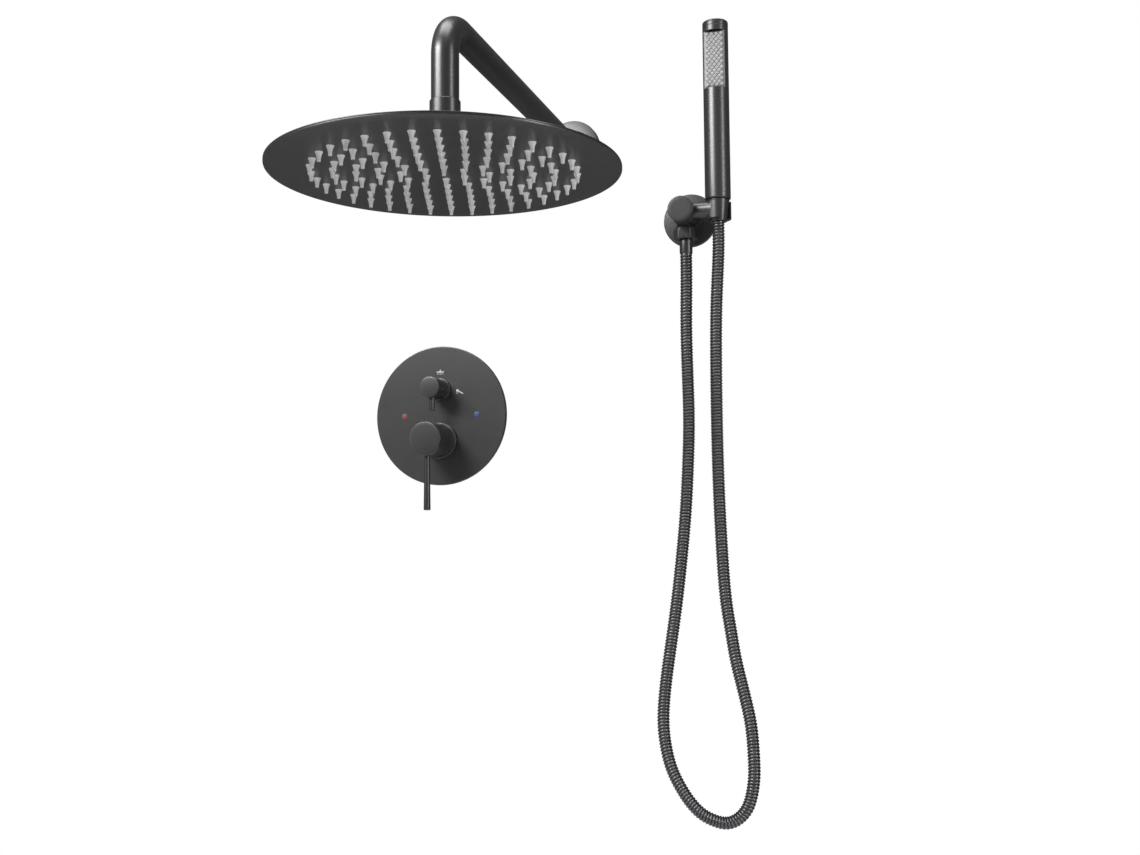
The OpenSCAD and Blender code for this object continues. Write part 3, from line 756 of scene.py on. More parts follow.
@dataclass
class WallArm:
    """The bent tube from the wall to the rain head, and its flange.

    Attributes:
        bend: radius of the bend's centre line.
        bore: radius of the water way.
    """

    bend: float = 32.0
    bore: float = 8.0

    def __post_init__(self) -> None:
        """Reads the arm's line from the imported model."""
        arm = span("shower_arm")
        self.radius, self.x, self.stub_y = arm.radius, arm.middle[0], arm.high[1]
        self.axis_z = arm.high[2] - self.radius
        self.drop_y = arm.low[1] + self.radius
        self.drop_end = span("ball_stem").high[2]

    def build(self) -> None:
        """Builds and dresses the arm and the flange."""
        self._tube()
        self._flange()
        dress(SEAL_RUBBER, "arm_flange_seal")

    def _line(self, steps: int = 40) -> tuple[np.ndarray, np.ndarray]:
        """The arm's centre line and the direction across it in the bend's plane."""
        turn = np.linspace(0, math.pi / 2, steps)
        bend_y = self.drop_y + self.bend * (1 - np.sin(turn))
        bend_z = self.axis_z - self.bend * (1 - np.cos(turn))
        y = np.concatenate([[0.0, -6.0], np.linspace(-60, bend_y[0] + 12, 5), bend_y,
                            np.full(3, self.drop_y)])
        z = np.concatenate([np.full(7, self.axis_z), bend_z,
                            np.linspace(bend_z[-1] - 6, self.drop_end, 3)])
        angle = np.concatenate([np.zeros(7), turn, np.full(3, math.pi / 2)])
        centre = np.stack([np.full(len(y), self.x), y, z], -1)
        across = np.stack([np.zeros(len(y)), -np.sin(angle), np.cos(angle)], -1)
        return centre, across

    def _skin(self, radius: float, around: int = 96) -> np.ndarray:
        """Circles of one radius carried along the line."""
        centre, across = self._line()
        angle = (np.arange(around) * 2 * math.pi / around)[None, :, None]
        side = np.array([1.0, 0.0, 0.0])
        return centre[:, None] + radius * (np.cos(angle) * across[:, None] + np.sin(angle) * side)

    def _tube(self) -> None:
        """The tube, its threaded stub in the wall and the water way's mouth."""
        piece = Piece("arm_tube").add_grid(self._skin(self.radius))
        into_wall = placed(Facing.WALL, (self.x, 0, self.axis_z))
        piece.add_grid(into_wall(thread_skin(THREAD_R, 0.0, self.stub_y, 64)))
        mouth = rounded([(self.bore, self.stub_y - 20, 0), (self.bore, self.stub_y, 0.4),
                         (THREAD_LIP, self.stub_y, 0)])
        piece.add_grid(into_wall(revolved(mouth, 64)))
        piece.add_grid(into_wall(revolved(np.array([(THREAD_LIP, 0.0), (self.radius, 0.0)]), 64)))
        piece.build([BLACK_COAT], "wall_set", ["shower_arm"])

    def _flange(self) -> None:
        """The flange: a disc with a soft front edge and a small bevel round the tube."""
        flange = span("arm_flange")
        r, t, bore = flange.radius, flange.depth, self.radius + 0.12
        turned("arm_wall_flange", "arm_flange", BLACK_COAT, [
            (bore, 0, 0), (r - 0.5, 0, 0.3), (r, 0.5, 0.3), (r, t, 1.2),
            (bore + 1, t, 0.5), (bore, t - 1, 0.3), (bore, 0, 0)
        ], placed(Facing.ROOM, (self.x, 0, self.axis_z)))


@dataclass
class RainHead:
    """The thin round head: face plate, top cover, rubber nozzles and the swivel.

    Attributes:
        rings: how many rings of nozzles there are.
        first: how many nozzles the innermost ring has, and by how many each ring grows.
        turn: angle of the first nozzle of every ring, in degrees.
        edge: rounding of the plate's edge.
        rim: height of the cover's upright rim.
        tip_r: radius of a nozzle's tip.
        base_r: radius of a nozzle's foot.
        mat_rim: width of the rubber mat outside the last ring.
    """

    rings: int = 6
    first: int = 6
    turn: float = -10.5
    edge: float = 0.35
    rim: float = 1.1
    tip_r: float = 1.55
    base_r: float = 3.35
    mat_rim: float = 8.0

    def __post_init__(self) -> None:
        """Reads the head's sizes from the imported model."""
        face, mat = span("head_face_plate"), span("nozzle_mat")
        self.radius, self.plate_t, self.face_z = face.radius, face.height, face.low[2]
        self.cover_top = span("head_cover").high[2] - self.face_z
        self.drop = self.face_z - mat.low[2]
        self.pitch = (mat.radius - self.mat_rim) / self.rings
        self.at_face = placed(Facing.UP, (face.middle[0], face.middle[1], self.face_z))

    def build(self) -> None:
        """Builds and dresses the whole head."""
        self._face_plate()
        self._cover()
        self._nozzles()
        softened("ball_nut", BLACK_COAT, 0.7, 3)
        softened("ball_cup", BLACK_COAT, 0.5, 2)
        softened("ball_stem", BLACK_COAT, 0.35, 2)
        dress(SEAL_RUBBER, "ball_seal", "hub_seal")
        dress(WHITE_NYLON, "ball_glide")
        dress(BARE_BRASS, "hub_lock_nut")
        dress(STAINLESS, "inlet_strainer")

    def _face_plate(self) -> None:
        """The face: a flat disc with a rounded lower edge and a seam under the cover's rim."""
        r, t = self.radius, self.plate_t
        turned("rain_face_plate", "head_face_plate", BLACK_COAT, [
            (0, 0, 0), (r * 0.5, 0, 0), (r * 0.9, 0, 0), (r, 0, self.edge), (r, t - 0.15, 0.1),
            (r - 0.4, t - 0.05, 0), (0, t - 0.05, 0)
        ], self.at_face, 288, 6)

    def _cover(self) -> None:
        """The cover: a low cone that rises from a rounded rim to a flat boss."""
        r, t, top = self.radius, self.plate_t, self.cover_top
        rise = t + self.rim
        turned("rain_top_cover", "head_cover", BLACK_COAT, [
            (r - 7, t, 0), (r - 0.4, t + 0.05, 0), (r, t + 0.2, 0.1), (r, rise, 0.4),
            (r * 0.62, rise + (top - rise) * 0.5, 160), (34, top, 30), (11, top, 0.4), (11, top - 2, 0)
        ], self.at_face, 288, 8)

    def nozzle_places(self) -> np.ndarray:
        """Every nozzle's place: ring k has k times the first ring's count, evenly spaced."""
        places = []
        for k in range(1, self.rings + 1):
            count = self.first * k
            a = math.radians(self.turn) + np.arange(count) * 2 * math.pi / count
            places.append(np.stack([k * self.pitch * np.cos(a), k * self.pitch * np.sin(a), 0 * a], -1))
        return np.concatenate(places)

    def _nozzles(self) -> None:
        """The nozzles: a flared foot, a narrow neck, a rounded lip and a jet hole.

        The radius falls from the foot to the tip with the height that is left raised
        to 2.1, so the side is hollow. A near-black ring round the foot is painted shade
        in the hole's gap, and the jet hole's inside is painted shade as well.
        """
        down = np.linspace(0, 1, 6)
        flare = self.tip_r + (self.base_r - self.tip_r) * (1 - down) ** 2.1
        side = np.stack([flare, -self.drop * down * 0.94], -1)
        foot, tip, floor = self.base_r, -self.drop, -self.drop + 2.2
        profile = np.vstack([[(foot + 0.55, 0.02), (foot + 0.35, -0.06), (foot + 0.02, -0.06)], side[1:],
                             [(self.tip_r - 0.25, tip), (0.75, tip), (0.6, floor), (0.0, floor)]])
        # skin 0, near-black, is painted shade: the ring round the foot and the jet hole's inside
        skins = np.ones(len(profile) - 1, int)
        skins[:2] = 0
        skins[-2:] = 0
        piece = Piece("rain_nozzles").add_copies(revolved(profile, 16), self.nozzle_places(), skins)
        piece.build([JET_SHADOW, NOZZLE_SILICONE], "rain_head", ["nozzle_mat"], 40.0, self.at_face)


# Valve and its trim

@dataclass
class ValveTrim:
    """The trim plate with the mixer and the diverter, and the brass body in the wall.

    Attributes:
        crown: how far a knob's face falls from its middle to its rim.
        pivot: depth of the mixer's pivot.
        dome: radius of the sleeve's front round the pivot.
        hollow: radius of the mixer knob's hollow round the pivot.
    """

    crown: float = 0.5
    pivot: float = 2.0
    dome: float = 24.0
    hollow: float = 24.5

    def __post_init__(self) -> None:
        """Reads the knobs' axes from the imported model."""
        self.mixer_z = span("mixer_knob").middle[2]
        self.diverter_z = span("diverter_knob").middle[2]
        self.at_mixer = placed(Facing.ROOM, (0, 0, self.mixer_z))
        self.at_diverter = placed(Facing.ROOM, (0, 0, self.diverter_z))

    def build(self) -> None:
        """Builds and dresses the valve."""
        softened("trim_plate", BLACK_COAT, 0.5, 3)
        self._mixer()
        self._diverter()
        self._marks()
        softened("valve_body", BARE_BRASS, 0.6, 2)
        dress(BARE_BRASS, "cartridge_nut", "diverter_nut", "mixer_spindle", "diverter_spindle")
        dress(WHITE_NYLON, "mixer_cartridge", "diverter_cartridge", "mixer_turret")
        dress(SEAL_RUBBER, "trim_seal", "mixer_sleeve_seal", "diverter_sleeve_seal")
        dress(STAINLESS, "turret_pin", "mixer_set_screw", "diverter_set_screw")

    def _crown(self, r: float, front: float) -> list[Triple]:
        """A knob's face: it falls with the square of the radius, then rounds into the side."""
        falls = [(r * part, front - self.crown * part ** 2, 0.0) for part in (0.0, 0.2, 0.4, 0.6, 0.8)]
        return [*falls, (r, front - self.crown, 0.8)]

    def _round_pivot(self, size: float, spots: np.ndarray) -> list[Triple]:
        """Corners on a ball round the pivot, at distances from the axis."""
        return [(x, self.pivot + math.sqrt(size * size - x * x), 0) for x in spots]

    def _mixer(self) -> None:
        """The mixer: a sleeve in two steps, the knob that tilts over it, and the lever."""
        sleeve, knob = span("mixer_sleeve"), span("mixer_knob")
        base, rim, r = sleeve.back, sleeve.radius, knob.radius
        front = self._round_pivot(self.dome, np.linspace(19.5, 15.5, 8))
        turned("mixer_turned_sleeve", "mixer_sleeve", BLACK_COAT, [
            (19.7, base, 0), (rim, base, 0.2), (rim, base + 4, 0.9), (19.5, base + 4, 0.3),
            (19.5, front[0][1] - 0.4, 0.0), *front[1:], (15.5, 8, 0), (19.7, 7, 0), (19.7, base, 0)
        ], self.at_mixer)
        inner = self._round_pivot(self.hollow, np.linspace(3.6, r - 0.4, 14))
        turned("mixer_turned_knob", "mixer_knob", BLACK_COAT, [
            *self._crown(r, knob.front), (r, inner[-1][1] + 0.5, 0.3), *inner[::-1],
            (3.6, 40.0, 0), (0, 40.0, 0)
        ], self.at_mixer, steps=6)
        self._lever(r)

    def _lever(self, knob_r: float) -> None:
        """The lever: a slim cone, thicker at its rounded tip."""
        lever = span("mixer_lever")
        length = self.mixer_z - lever.low[2]
        turned("mixer_turned_lever", "mixer_lever", BLACK_COAT, [
            (0, knob_r - 6, 0), (2.4, knob_r - 6, 0), (2.4, knob_r - 1, 0), (3.2, knob_r - 1, 0),
            (3.2, knob_r + 0.2, 0), (lever.radius, length - 0.2, 0.9), (0, length, 0)
        ], placed(Facing.DOWN, (lever.middle[0], lever.middle[1], self.mixer_z)), 48, 6)

    def _diverter(self) -> None:
        """The diverter: its sleeve, its knob and the pin that shows where it points."""
        sleeve, knob, pin = span("diverter_sleeve"), span("diverter_knob"), span("diverter_pin")
        base, front, rim = sleeve.back, sleeve.front, sleeve.radius
        turned("diverter_turned_sleeve", "diverter_sleeve", BLACK_COAT, [
            (11.0, base, 0), (rim, base, 0.2), (rim, base + 3, 0.8), (12.0, base + 3, 0.3),
            (12.0, front, 0.4), (7.4, front, 0.2), (7.4, 6, 0), (11.0, 5.5, 0), (11.0, base, 0)
        ], self.at_diverter)
        r, back = knob.radius, knob.back
        turned("diverter_turned_knob", "diverter_knob", BLACK_COAT, [
            *self._crown(r, knob.front), (r, back, 0.4), (3.6, back, 0.2), (3.6, 30, 0), (0, 30, 0)
        ], self.at_diverter, steps=6)
        length, pin_r = self.diverter_z - pin.low[2], pin.radius
        turned("diverter_turned_pin", "diverter_pin", BLACK_COAT, [
            (0, r - 4, 0), (2.4, r - 4, 0), (2.4, r - 0.8, 0), (pin_r, r - 0.8, 0), (pin_r, length, 0.7),
            (0, length, 0)
        ], placed(Facing.DOWN, (0, pin.middle[1], self.diverter_z)), 40)

    def _marks(self) -> None:
        """The red and blue dots, slightly crowned, and the two printed pictures."""
        root = span("trim_plate").front - 0.2
        for node, finish in (("hot_mark", RED_ENAMEL), ("cold_mark", BLUE_ENAMEL)):
            mark = span(node)
            r, front = mark.radius, mark.front
            turned(node + "_dot", node, finish, [
                (0, front, 0), (r * 0.6, front - 0.03, 0), (r, front - 0.12, 0.1), (r, root, 0), (0, root, 0)
            ], placed(Facing.ROOM, (mark.middle[0], 0, mark.middle[2])), 40, 4)
        dress(WHITE_INK, "rain_mark", "hand_mark")


# Hand shower

@dataclass
class WallOutlet:
    """The hand shower's outlet: flange, round body, slotted holder and hose nut.

    Attributes:
        nipple_r: radius of the threaded nipple under the body.
        bore: radius of the water way.
    """

    nipple_r: float = 10.3
    bore: float = 5.0

    def __post_init__(self) -> None:
        """Reads the outlet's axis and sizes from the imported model."""
        self.flange, self.body = span("bracket_flange"), span("bracket_body")
        self.hex = span("hose_hex_nut")
        self.x, self.hose_y = self.flange.middle[0], self.hex.middle[1]
        self.to_room = placed(Facing.ROOM, (self.x, 0, self.flange.middle[2]))

    def build(self) -> None:
        """Builds and dresses the outlet and what screws on to it."""
        self._flange()
        self._body()
        softened("holder_arm", BLACK_COAT, 0.35, 2)
        self._hex_nut()
        self._ferrule()
        dress(SEAL_RUBBER, "bracket_flange_seal", "hex_nut_washer", "cone_nut_washer")
        dress(WHITE_NYLON, "check_valve")
        dress(BARE_BRASS, "hose_inlet_tail", "hose_outlet_tail")

    def _flange(self) -> None:
        """The flange: a thin disc with a soft front edge."""
        r, t, bore = self.flange.radius, self.flange.depth, 10.45
        turned("outlet_wall_flange", "bracket_flange", BLACK_COAT, [
            (bore, 0, 0), (r - 0.5, 0, 0.3), (r, 0.5, 0.3), (r, t, 1.0), (bore, t, 0), (bore, 0, 0)
        ], self.to_room)

    def _body(self) -> None:
        """The round body, its threaded stub in the wall and the nipple under it."""
        body, r, back = self.body, self.body.radius, self.flange.depth
        stub, under = body.high[1], self.flange.middle[2] - r
        profile = rounded([(0, body.front, 0), (r * 0.7, body.front, 0), (r, body.front, 0.7), (r, back, 0.3),
                           (self.nipple_r, back, 0), (self.nipple_r, 0, 0), (THREAD_LIP, 0, 0)], 6)
        mouth = rounded([(THREAD_LIP, -stub, 0), (self.bore, -stub, 0.5), (self.bore, -stub + 14, 0)], 4)
        throat = np.array([(THREAD_LIP, body.low[2]), (self.bore, body.low[2]), (self.bore, under)])
        hang = placed(Facing.UP, (self.x, self.hose_y, 0))
        piece = Piece("outlet_turned_body").add_grid(self.to_room(revolved(profile, 128)))
        piece.add_grid(self.to_room(thread_skin(THREAD_R, -stub, 0.0, 64)))
        piece.add_grid(self.to_room(revolved(mouth, 64)))
        piece.add_grid(hang(thread_skin(self.nipple_r, body.low[2], under + 3)))
        piece.add_grid(hang(revolved(throat, 48)))
        piece.build([BLACK_COAT], "wall_set", ["bracket_body"])

    def _hex_nut(self) -> None:
        """The hex nut: six flats whose corners are turned off to a cone at both ends.

        At each angle the radius is the smaller of the flat's distance divided by the
        cosine of the angle from the flat's middle, and the cone's radius. A step
        inward and a short bore close each end.
        """
        flat, corner, height = self.hex.depth / 2, self.hex.radius, self.hex.height
        angle = np.arange(144) * 2 * math.pi / 144
        sector = math.pi / 3
        hexagon = np.minimum(flat / np.cos((angle % sector) - sector / 2), corner - 0.25)
        h = np.array([0.0, 0.25, 0.8, 1.6, height / 2, height - 1.6, height - 0.8, height - 0.25, height])
        edge = np.minimum(h, height - h)
        cone = flat - 0.35 + np.minimum(edge, 0.25) + np.maximum(edge - 0.25, 0) * (corner - flat) / 1.3
        side = np.minimum(hexagon[None], cone[:, None])
        ends = [(side[0], 7.3, 0.0, 3.0), (side[-1], 10.4, height, height - 3)]
        piece = Piece("hose_nut_hexagon").add_grid(rings(side, h, angle))
        for lip, bore, level, inside in ends:
            step = np.stack([lip, np.full_like(lip, bore), np.full_like(lip, bore)])
            piece.add_grid(rings(step, np.array([level, level, inside]), angle))
        self.nut = piece.build([BLACK_COAT], "wall_set", ["hose_hex_nut"], 25.0,
                               placed(Facing.UP, (self.x, self.hose_y, self.hex.low[2])))

    def _ferrule(self) -> None:
        """The smooth sleeve that is pressed over the hose's end."""
        sleeve = span("hose_ferrule")
        r, low, high = sleeve.radius, sleeve.low[2], sleeve.high[2]
        self.ferrule = turned("hose_end_sleeve", "hose_ferrule", BLACK_COAT, [
            (6.2, low, 0), (r - 0.1, low, 0.5), (r, high - 0.5, 0.4), (6.2, high, 0)
        ], placed(Facing.UP, (self.x, self.hose_y, 0)), 72)


@dataclass
class Hose:
    """The ribbed hose that hangs in one loop from the outlet to the holder.

    Attributes:
        diameter: over the ribs.
        rib_pitch: height of one turn of the wound strip.
        rib_depth: how deep the groove between two ribs is.
        around: steps round the hose.
        per_rib: rings along one rib.
        route: the points that the centre line follows, as in the CAD source, in metres.
    """

    diameter: float = 13.5
    rib_pitch: float = 3.4
    rib_depth: float = 1.0
    around: int = 24
    per_rib: int = 8
    route: tuple[Triple, ...] = field(default=(
        (0.303, -0.030, 0.168), (0.303, -0.030, 0.135), (0.302, -0.031, 0.085), (0.303, -0.031, 0.030),
        (0.304, -0.032, -0.020), (0.302, -0.033, -0.070), (0.299, -0.034, -0.120), (0.292, -0.035, -0.185),
        (0.286, -0.036, -0.230), (0.279, -0.037, -0.275), (0.274, -0.037, -0.310), (0.272, -0.038, -0.342),
        (0.275, -0.038, -0.368), (0.280, -0.038, -0.388), (0.288, -0.038, -0.405), (0.299, -0.038, -0.422),
        (0.312, -0.038, -0.435), (0.326, -0.038, -0.441), (0.339, -0.039, -0.443), (0.351, -0.039, -0.438),
        (0.361, -0.039, -0.427), (0.366, -0.039, -0.412), (0.369, -0.040, -0.394), (0.369, -0.040, -0.375),
        (0.368, -0.040, -0.355), (0.366, -0.040, -0.335), (0.361, -0.040, -0.312), (0.356, -0.040, -0.291),
        (0.351, -0.041, -0.268), (0.347, -0.041, -0.240), (0.342, -0.041, -0.208), (0.339, -0.041, -0.155),
        (0.337, -0.041, -0.100), (0.336, -0.041, -0.040), (0.336, -0.041, 0.030), (0.337, -0.041, 0.100),
        (0.340, -0.041, 0.150), (0.341, -0.041, 0.175), (0.341, -0.041, 0.198),
    ))

    def centre_line(self) -> tuple[np.ndarray, np.ndarray, float]:
        """The smooth line through the route at even steps.

        Each span is the cubic whose slope at a point is half the step between that
        point's neighbours. The line is then smoothed by averaging each point with
        its neighbours, with both ends held, and laid out again at even steps.

        Returns:
            The points, the headings and the whole length, in millimetres.
        """
        p = np.array(self.route) / MM
        before = np.vstack([2 * p[:1] - p[1:2], p, 2 * p[-1:] - p[-2:-1]])
        t = np.linspace(0, 1, 24, endpoint=False)[None, :, None]
        a, b, c, d = (before[i:len(p) - 1 + i, None] for i in range(4))
        curve = 0.5 * (2 * b + (c - a) * t + (2 * a - 5 * b + 4 * c - d) * t ** 2
                       + (3 * b - a - 3 * c + d) * t ** 3)
        dense = np.vstack([curve.reshape(-1, 3), p[-1:]])
        for _ in range(160):
            dense[1:-1] += 0.5 * (0.5 * (dense[:-2] + dense[2:]) - dense[1:-1])
        step = np.linalg.norm(np.diff(dense, axis=0), axis=1)
        along = np.concatenate([[0], np.cumsum(step)])
        length = float(along[-1])
        ribs = round(length / self.rib_pitch)
        even = np.linspace(0, length, ribs * self.per_rib + 1)
        line = np.stack([np.interp(even, along, dense[:, k]) for k in range(3)], -1)
        heading = np.gradient(line, axis=0)
        heading /= np.linalg.norm(heading, axis=1, keepdims=True)
        heading[0], heading[-1] = (0, 0, -1), (0, 0, 1)
        return line, heading, length

    def build(self, pieces: Sequence[str | bpy.types.Object]) -> None:
        """The skin is a circle carried along the line. Its radius is half the diameter
        less the groove, and the groove is the rib's depth times the third power of
        the cosine of half the phase's turn, where the phase winds once round the
        hose for each rib.

        Args:
            pieces: what sits on the hose; not used.
        """
        line, heading, length = self.centre_line()
        out = np.cross(heading, np.array([0.0, 1.0, 0.0]))
        out /= np.linalg.norm(out, axis=1, keepdims=True)
        side = np.cross(heading, out)
        angle = (np.arange(self.around) * 2 * math.pi / self.around)[None]
        number = np.arange(len(line))
        turn = (number / self.per_rib)[:, None]
        phase = (turn - angle / (2 * math.pi)) % 1
        groove = np.abs(np.cos(math.pi * phase)) ** 3
        ends = np.clip(np.minimum(number, number[::-1]) / self.per_rib, 0, 1)[:, None]
        r = self.diameter / 2 - self.rib_depth * groove * ends - 0.4 * (1 - ends)
        ring = np.cos(angle)[..., None] * out[:, None] + np.sin(angle)[..., None] * side[:, None]
        skin = line[:, None] + r[..., None] * ring
        piece = Piece("ribbed_hose").add_grid(skin)
        piece.add_polygon(skin[0]).add_polygon(skin[-1])
        # rib height, which the hose finish also uses to darken the grooves' colour as painted shade
        crest = np.concatenate([(1 - groove * ends).ravel(), np.ones(2 * self.around + 2)])
        made = piece.build([HOSE_STEEL], None, ["hose_tube"], 60.0, attribute=("rib", crest), merge=False)
        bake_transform(made)
        LOG.info("hose length %.0f mm", length)


@dataclass
class Handset:
    """The slim hand shower: round tube, spray plate, cap and the cone nut under it.

    Attributes:
        columns: nozzles in the wider rows of the spray plate.
        rows: how many wider rows there are.
        pitch_x: step between two nozzles of a row.
        pitch_z: step between two wider rows.
        diamond: half the width of a nozzle's foot.
        stand: how far a nozzle stands out.
    """

    columns: int = 4
    rows: int = 10
    pitch_x: float = 5.2
    pitch_z: float = 6.3
    diamond: float = 2.3
    stand: float = 1.5

    def __post_init__(self) -> None:
        """Reads the handset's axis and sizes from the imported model."""
        tube = span("handset_tube")
        self.radius, self.cap_low, self.top = tube.radius, tube.high[2], span("handset_cap").high[2]
        self.upright = placed(Facing.UP, (tube.middle[0], tube.middle[1], 0))

    def build(self) -> None:
        """Builds and dresses the handset."""
        softened("handset_tube", BLACK_ABS, 0.35, 2)
        self._cap()
        self._spray_plate()
        self._cone_nut()
        dress(BLACK_COAT, "handset_tail")
        dress(WHITE_NYLON, "handset_core")

    def _cap(self) -> None:
        """The cap: a short drum with a soft edge and a fine seam under it."""
        r, seam, top = self.radius, self.cap_low, self.top
        turned("handset_end_cap", "handset_cap", BLACK_ABS, [
            (0, seam - 5, 0), (12, seam - 5, 0), (12, seam + 0.2, 0), (r - 0.3, seam + 0.1, 0),
            (r, seam + 0.5, 0.2), (r, top, 1.3), (0, top, 0)
        ], self.upright, 96, 7)

    def _spray_plate(self) -> None:
        """The spray plate: a slightly crowned strip with staggered diamond nozzles.

        The strip sinks with the tenth power of the distance from its middle across,
        and the thirty-fourth power of the distance along, so only its rim turns down.
        """
        plate = span("handset_spray_plate")
        half_w, half_h = plate.radius, plate.height / 2
        middle = plate.middle
        face = plate.low[1] + self.stand
        u, v = np.meshgrid(np.linspace(-1, 1, 25), np.linspace(-1, 1, 61), indexing="ij")
        sink = 0.9 * np.maximum(np.abs(u) ** 10, np.abs(v) ** 34)
        front = np.stack([middle[0] + u * half_w, face + sink, middle[2] + v * half_h], -1)
        back = front.copy()
        back[..., 1] = face + 1.4
        piece = Piece("handset_jets")
        piece.add_grid(front, wrap=False, skin=2).add_grid(back, wrap=False, skin=2)
        for edge in ((front[0], back[0]), (front[-1], back[-1]), (front[:, 0], back[:, 0]),
                     (front[:, -1], back[:, -1])):
            piece.add_grid(np.stack(edge), wrap=False, skin=2)
        places = self._jet_places(middle, face)
        corner = np.arange(4) * math.pi / 2
        outline = np.array([(self.diamond, -0.05), (self.diamond, -0.02), (1.05, -self.stand),
                            (0.55, -self.stand), (0.45, -0.4), (0.0, -0.4)])
        size, out = outline[:, :1], outline[:, 1:]
        jets = np.stack([size * np.cos(corner), out + 0 * corner, size * np.sin(corner)], -1)
        # skin 0, near-black, is painted shade inside each jet's hole
        piece.add_copies(jets, places, np.array([1, 1, 1, 0, 0]))
        piece.build([JET_SHADOW, JET_SILICONE, JET_PLATE], "handset", ["handset_spray_plate"], 25.0)

    def _jet_places(self, middle: np.ndarray, face: float) -> np.ndarray:
        """Staggered rows: every second row has one jet less and sits between the others."""
        rows = [(row, self.columns - row % 2) for row in range(2 * self.rows - 1)]
        return np.array([(middle[0] + (column - (count - 1) / 2) * self.pitch_x, face,
                          middle[2] + (row - self.rows + 1) * self.pitch_z / 2)
                         for row, count in rows for column in range(count)])

    def _cone_nut(self) -> None:
        """The cone nut: it tapers down into the holder from a rounded shoulder."""
        nut = span("hose_cone_nut")
        r, low, high = nut.radius, nut.low[2], nut.high[2]
        slope = 3.0 / nut.height
        turned("hose_end_cone", "hose_cone_nut", BLACK_COAT, [
            (6.9, low + 4, 0), (6.9, low, 0.3), (r - 3, low, 0.6), (r - slope * 2, high - 2, 0),
            (r, high, 0.5), (10.4, high, 0.3), (10.4, high - 6, 0)
        ], self.upright, 96)


# Studio

@dataclass(frozen=True)
class SoftBox:
    """One soft light.

    Attributes:
        name: the light's name.
        place: where it stands, in metres.
        target: what it points at, in metres.
        size: width and height, in metres.
        power: in watts.
    """

    name: str
    place: Triple
    target: Triple
    size: tuple[float, float]
    power: float


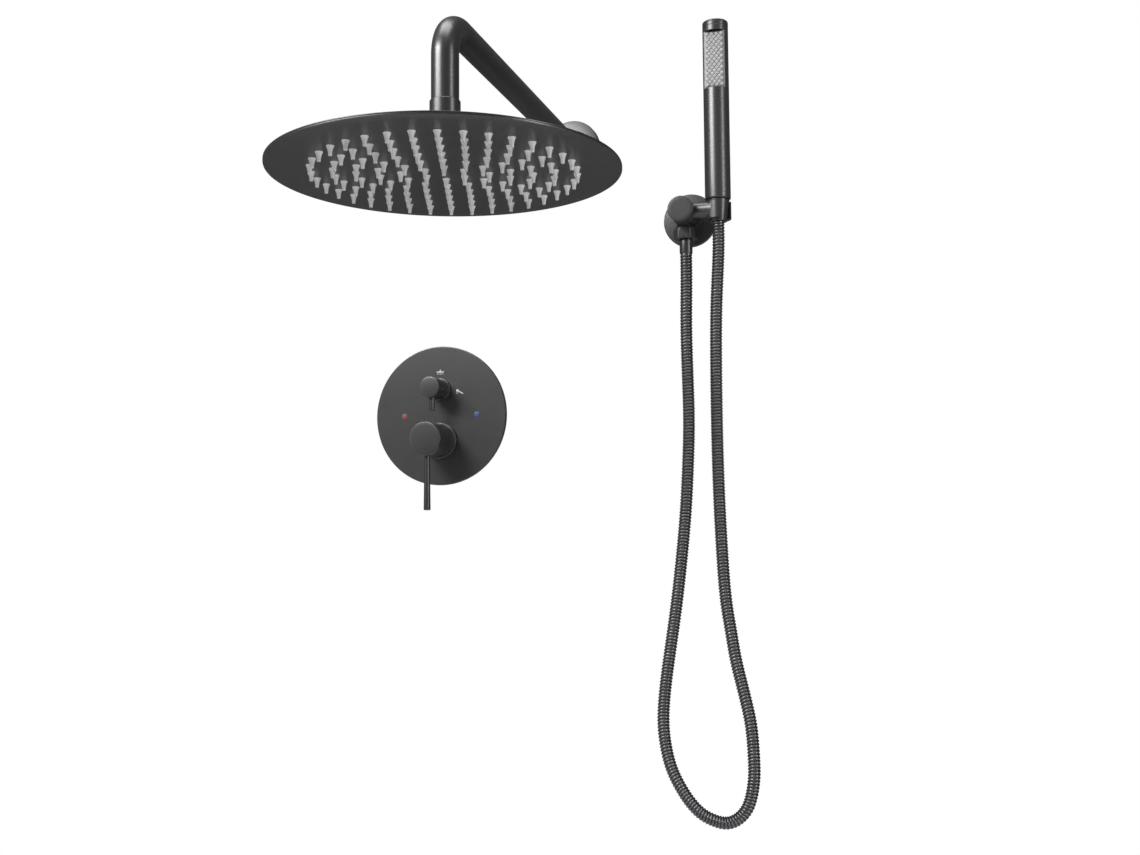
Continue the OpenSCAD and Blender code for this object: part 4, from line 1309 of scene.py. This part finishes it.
@dataclass
class Studio:
    """The camera, the soft lights, the pale floor and the white surroundings.

    Attributes:
        eye: the camera's place in metres.
        yaw: turn to the left of straight at the wall, in degrees.
        pitch: upward tilt in degrees.
        roll: turn about the line of sight in degrees.
        lens: focal length in millimetres on a 36 mm wide sensor.
        floor_z: height of the floor in metres.
        surround: strength of the grey that the object reflects.
        boxes: the soft lights.
    """

    eye: Triple = (0.5484, -1.3129, -0.1164)
    yaw: float = 16.52
    pitch: float = 4.10
    roll: float = 0.43
    lens: float = 37.71
    floor_z: float = -0.80
    surround: float = 0.12
    boxes: tuple[SoftBox, ...] = (
        SoftBox("left_softbox", (-1.2, -1.3, 0.2), (0.25, -0.1, 0.05), (0.3, 1.5), 5.0),
        SoftBox("right_strip", (2.0, -0.85, 0.35), (0.3, -0.1, 0.0), (0.3, 1.6), 27.0),
        SoftBox("upper_front", (-0.7, -1.4, 0.95), (0.0, 0.0, 0.08), (0.9, 0.25), 45.0),
        SoftBox("overhead", (0.1, -0.6, 1.9), (0.15, -0.15, 0.1), (1.6, 1.0), 42.0),
        SoftBox("low_back", (0.0, 0.5, -0.7), (0.166, -0.39, 0.17), (1.2, 0.3), 1.6),
    )

    def build(self) -> None:
        """Sets up everything that is not part of the shower."""
        self._camera()
        self._floor()
        self._surroundings()
        for box in self.boxes:
            self._light(box)

    def _camera(self) -> None:
        """The camera, with its directions worked out from yaw, pitch and roll."""
        data = bpy.data.cameras.new("camera")
        data.lens = self.lens
        data.sensor_width = 36.0
        data.clip_start = 0.05
        made = bpy.data.objects.new("camera", data)
        bpy.context.scene.collection.objects.link(made)
        made.rotation_mode = "XYZ"
        made.location = self.eye
        yaw, pitch, roll = (math.radians(value) for value in (self.yaw, self.pitch, self.roll))
        ahead = Vector((-math.sin(yaw) * math.cos(pitch), math.cos(yaw) * math.cos(pitch), math.sin(pitch)))
        right = Vector((math.cos(yaw), math.sin(yaw), 0.0))
        up = right.cross(ahead)
        rolled_right = right * math.cos(roll) - up * math.sin(roll)
        rolled_up = right * math.sin(roll) + up * math.cos(roll)
        made.rotation_euler = Matrix((rolled_right, rolled_up, -ahead)).transposed().to_euler()
        bpy.context.scene.camera = made

    def _floor(self) -> None:
        """A pale floor that starts behind the wall's plane and runs out under the camera."""
        x, y = np.meshgrid(np.linspace(-2400, 2800, 3), np.linspace(-3400, 320, 3), indexing="ij")
        mesh = bpy.data.meshes.new("floor")
        points = np.stack([x, y, 0 * x + self.floor_z / MM], -1).reshape(-1, 3) * MM
        mesh.from_pydata(points.tolist(), [], grid_faces(3, 3, False).tolist())
        floor = bpy.data.objects.new("floor", mesh)
        bpy.context.scene.collection.objects.link(floor)
        finish = Finish("pale_floor", "matte_black", (0.78, 0.78, 0.78), drift=0.01, drift_mm=400.0,
                        roughness=0.8, grain_mm=8.0, grain_depth_mm=0.1)
        mesh.materials.append(finish.material())

    def _surroundings(self) -> None:
        """White behind the object, and a dimmer grey in what it reflects."""
        world = bpy.data.worlds.new("studio")
        bpy.context.scene.world = world
        world.use_nodes = True
        tree = world.node_tree
        tree.nodes.clear()
        rays = tree.nodes.new("ShaderNodeLightPath")
        mixed = []
        for strength in (self.surround, 1.0):
            mixed.append(tree.nodes.new("ShaderNodeBackground"))
            mixed[-1].inputs["Color"].default_value = (1, 1, 1, 1)
            mixed[-1].inputs["Strength"].default_value = strength
        mix = tree.nodes.new("ShaderNodeMixShader")
        end = tree.nodes.new("ShaderNodeOutputWorld")
        tree.links.new(rays.outputs["Is Camera Ray"], mix.inputs[0])
        for number, light in enumerate(mixed, 1):
            tree.links.new(light.outputs[0], mix.inputs[number])
        tree.links.new(mix.outputs[0], end.inputs["Surface"])
        bpy.context.scene.view_settings.view_transform = "Standard"

    @staticmethod
    def _light(box: SoftBox) -> None:
        """One rectangular light that points at its target."""
        data = bpy.data.lights.new(box.name, "AREA")
        data.shape = "RECTANGLE"
        data.size, data.size_y = box.size
        data.energy = box.power
        made = bpy.data.objects.new(box.name, data)
        bpy.context.scene.collection.objects.link(made)
        made.location = box.place
        toward = Vector(box.target) - Vector(box.place)
        made.rotation_euler = toward.to_track_quat("-Z", "Y").to_euler()
        made.visible_camera = False


def main() -> None:
    """Builds the studio, then the shower set from its groups."""
    logging.basicConfig(level=logging.INFO, format="%(name)s: %(message)s")
    Studio().build()
    outlet = WallOutlet()
    outlet.build()
    Hose().build([outlet.nut, outlet.ferrule])
    WallArm().build()
    RainHead().build()
    ValveTrim().build()
    Handset().build()


if __name__ == "__main__":
    main()
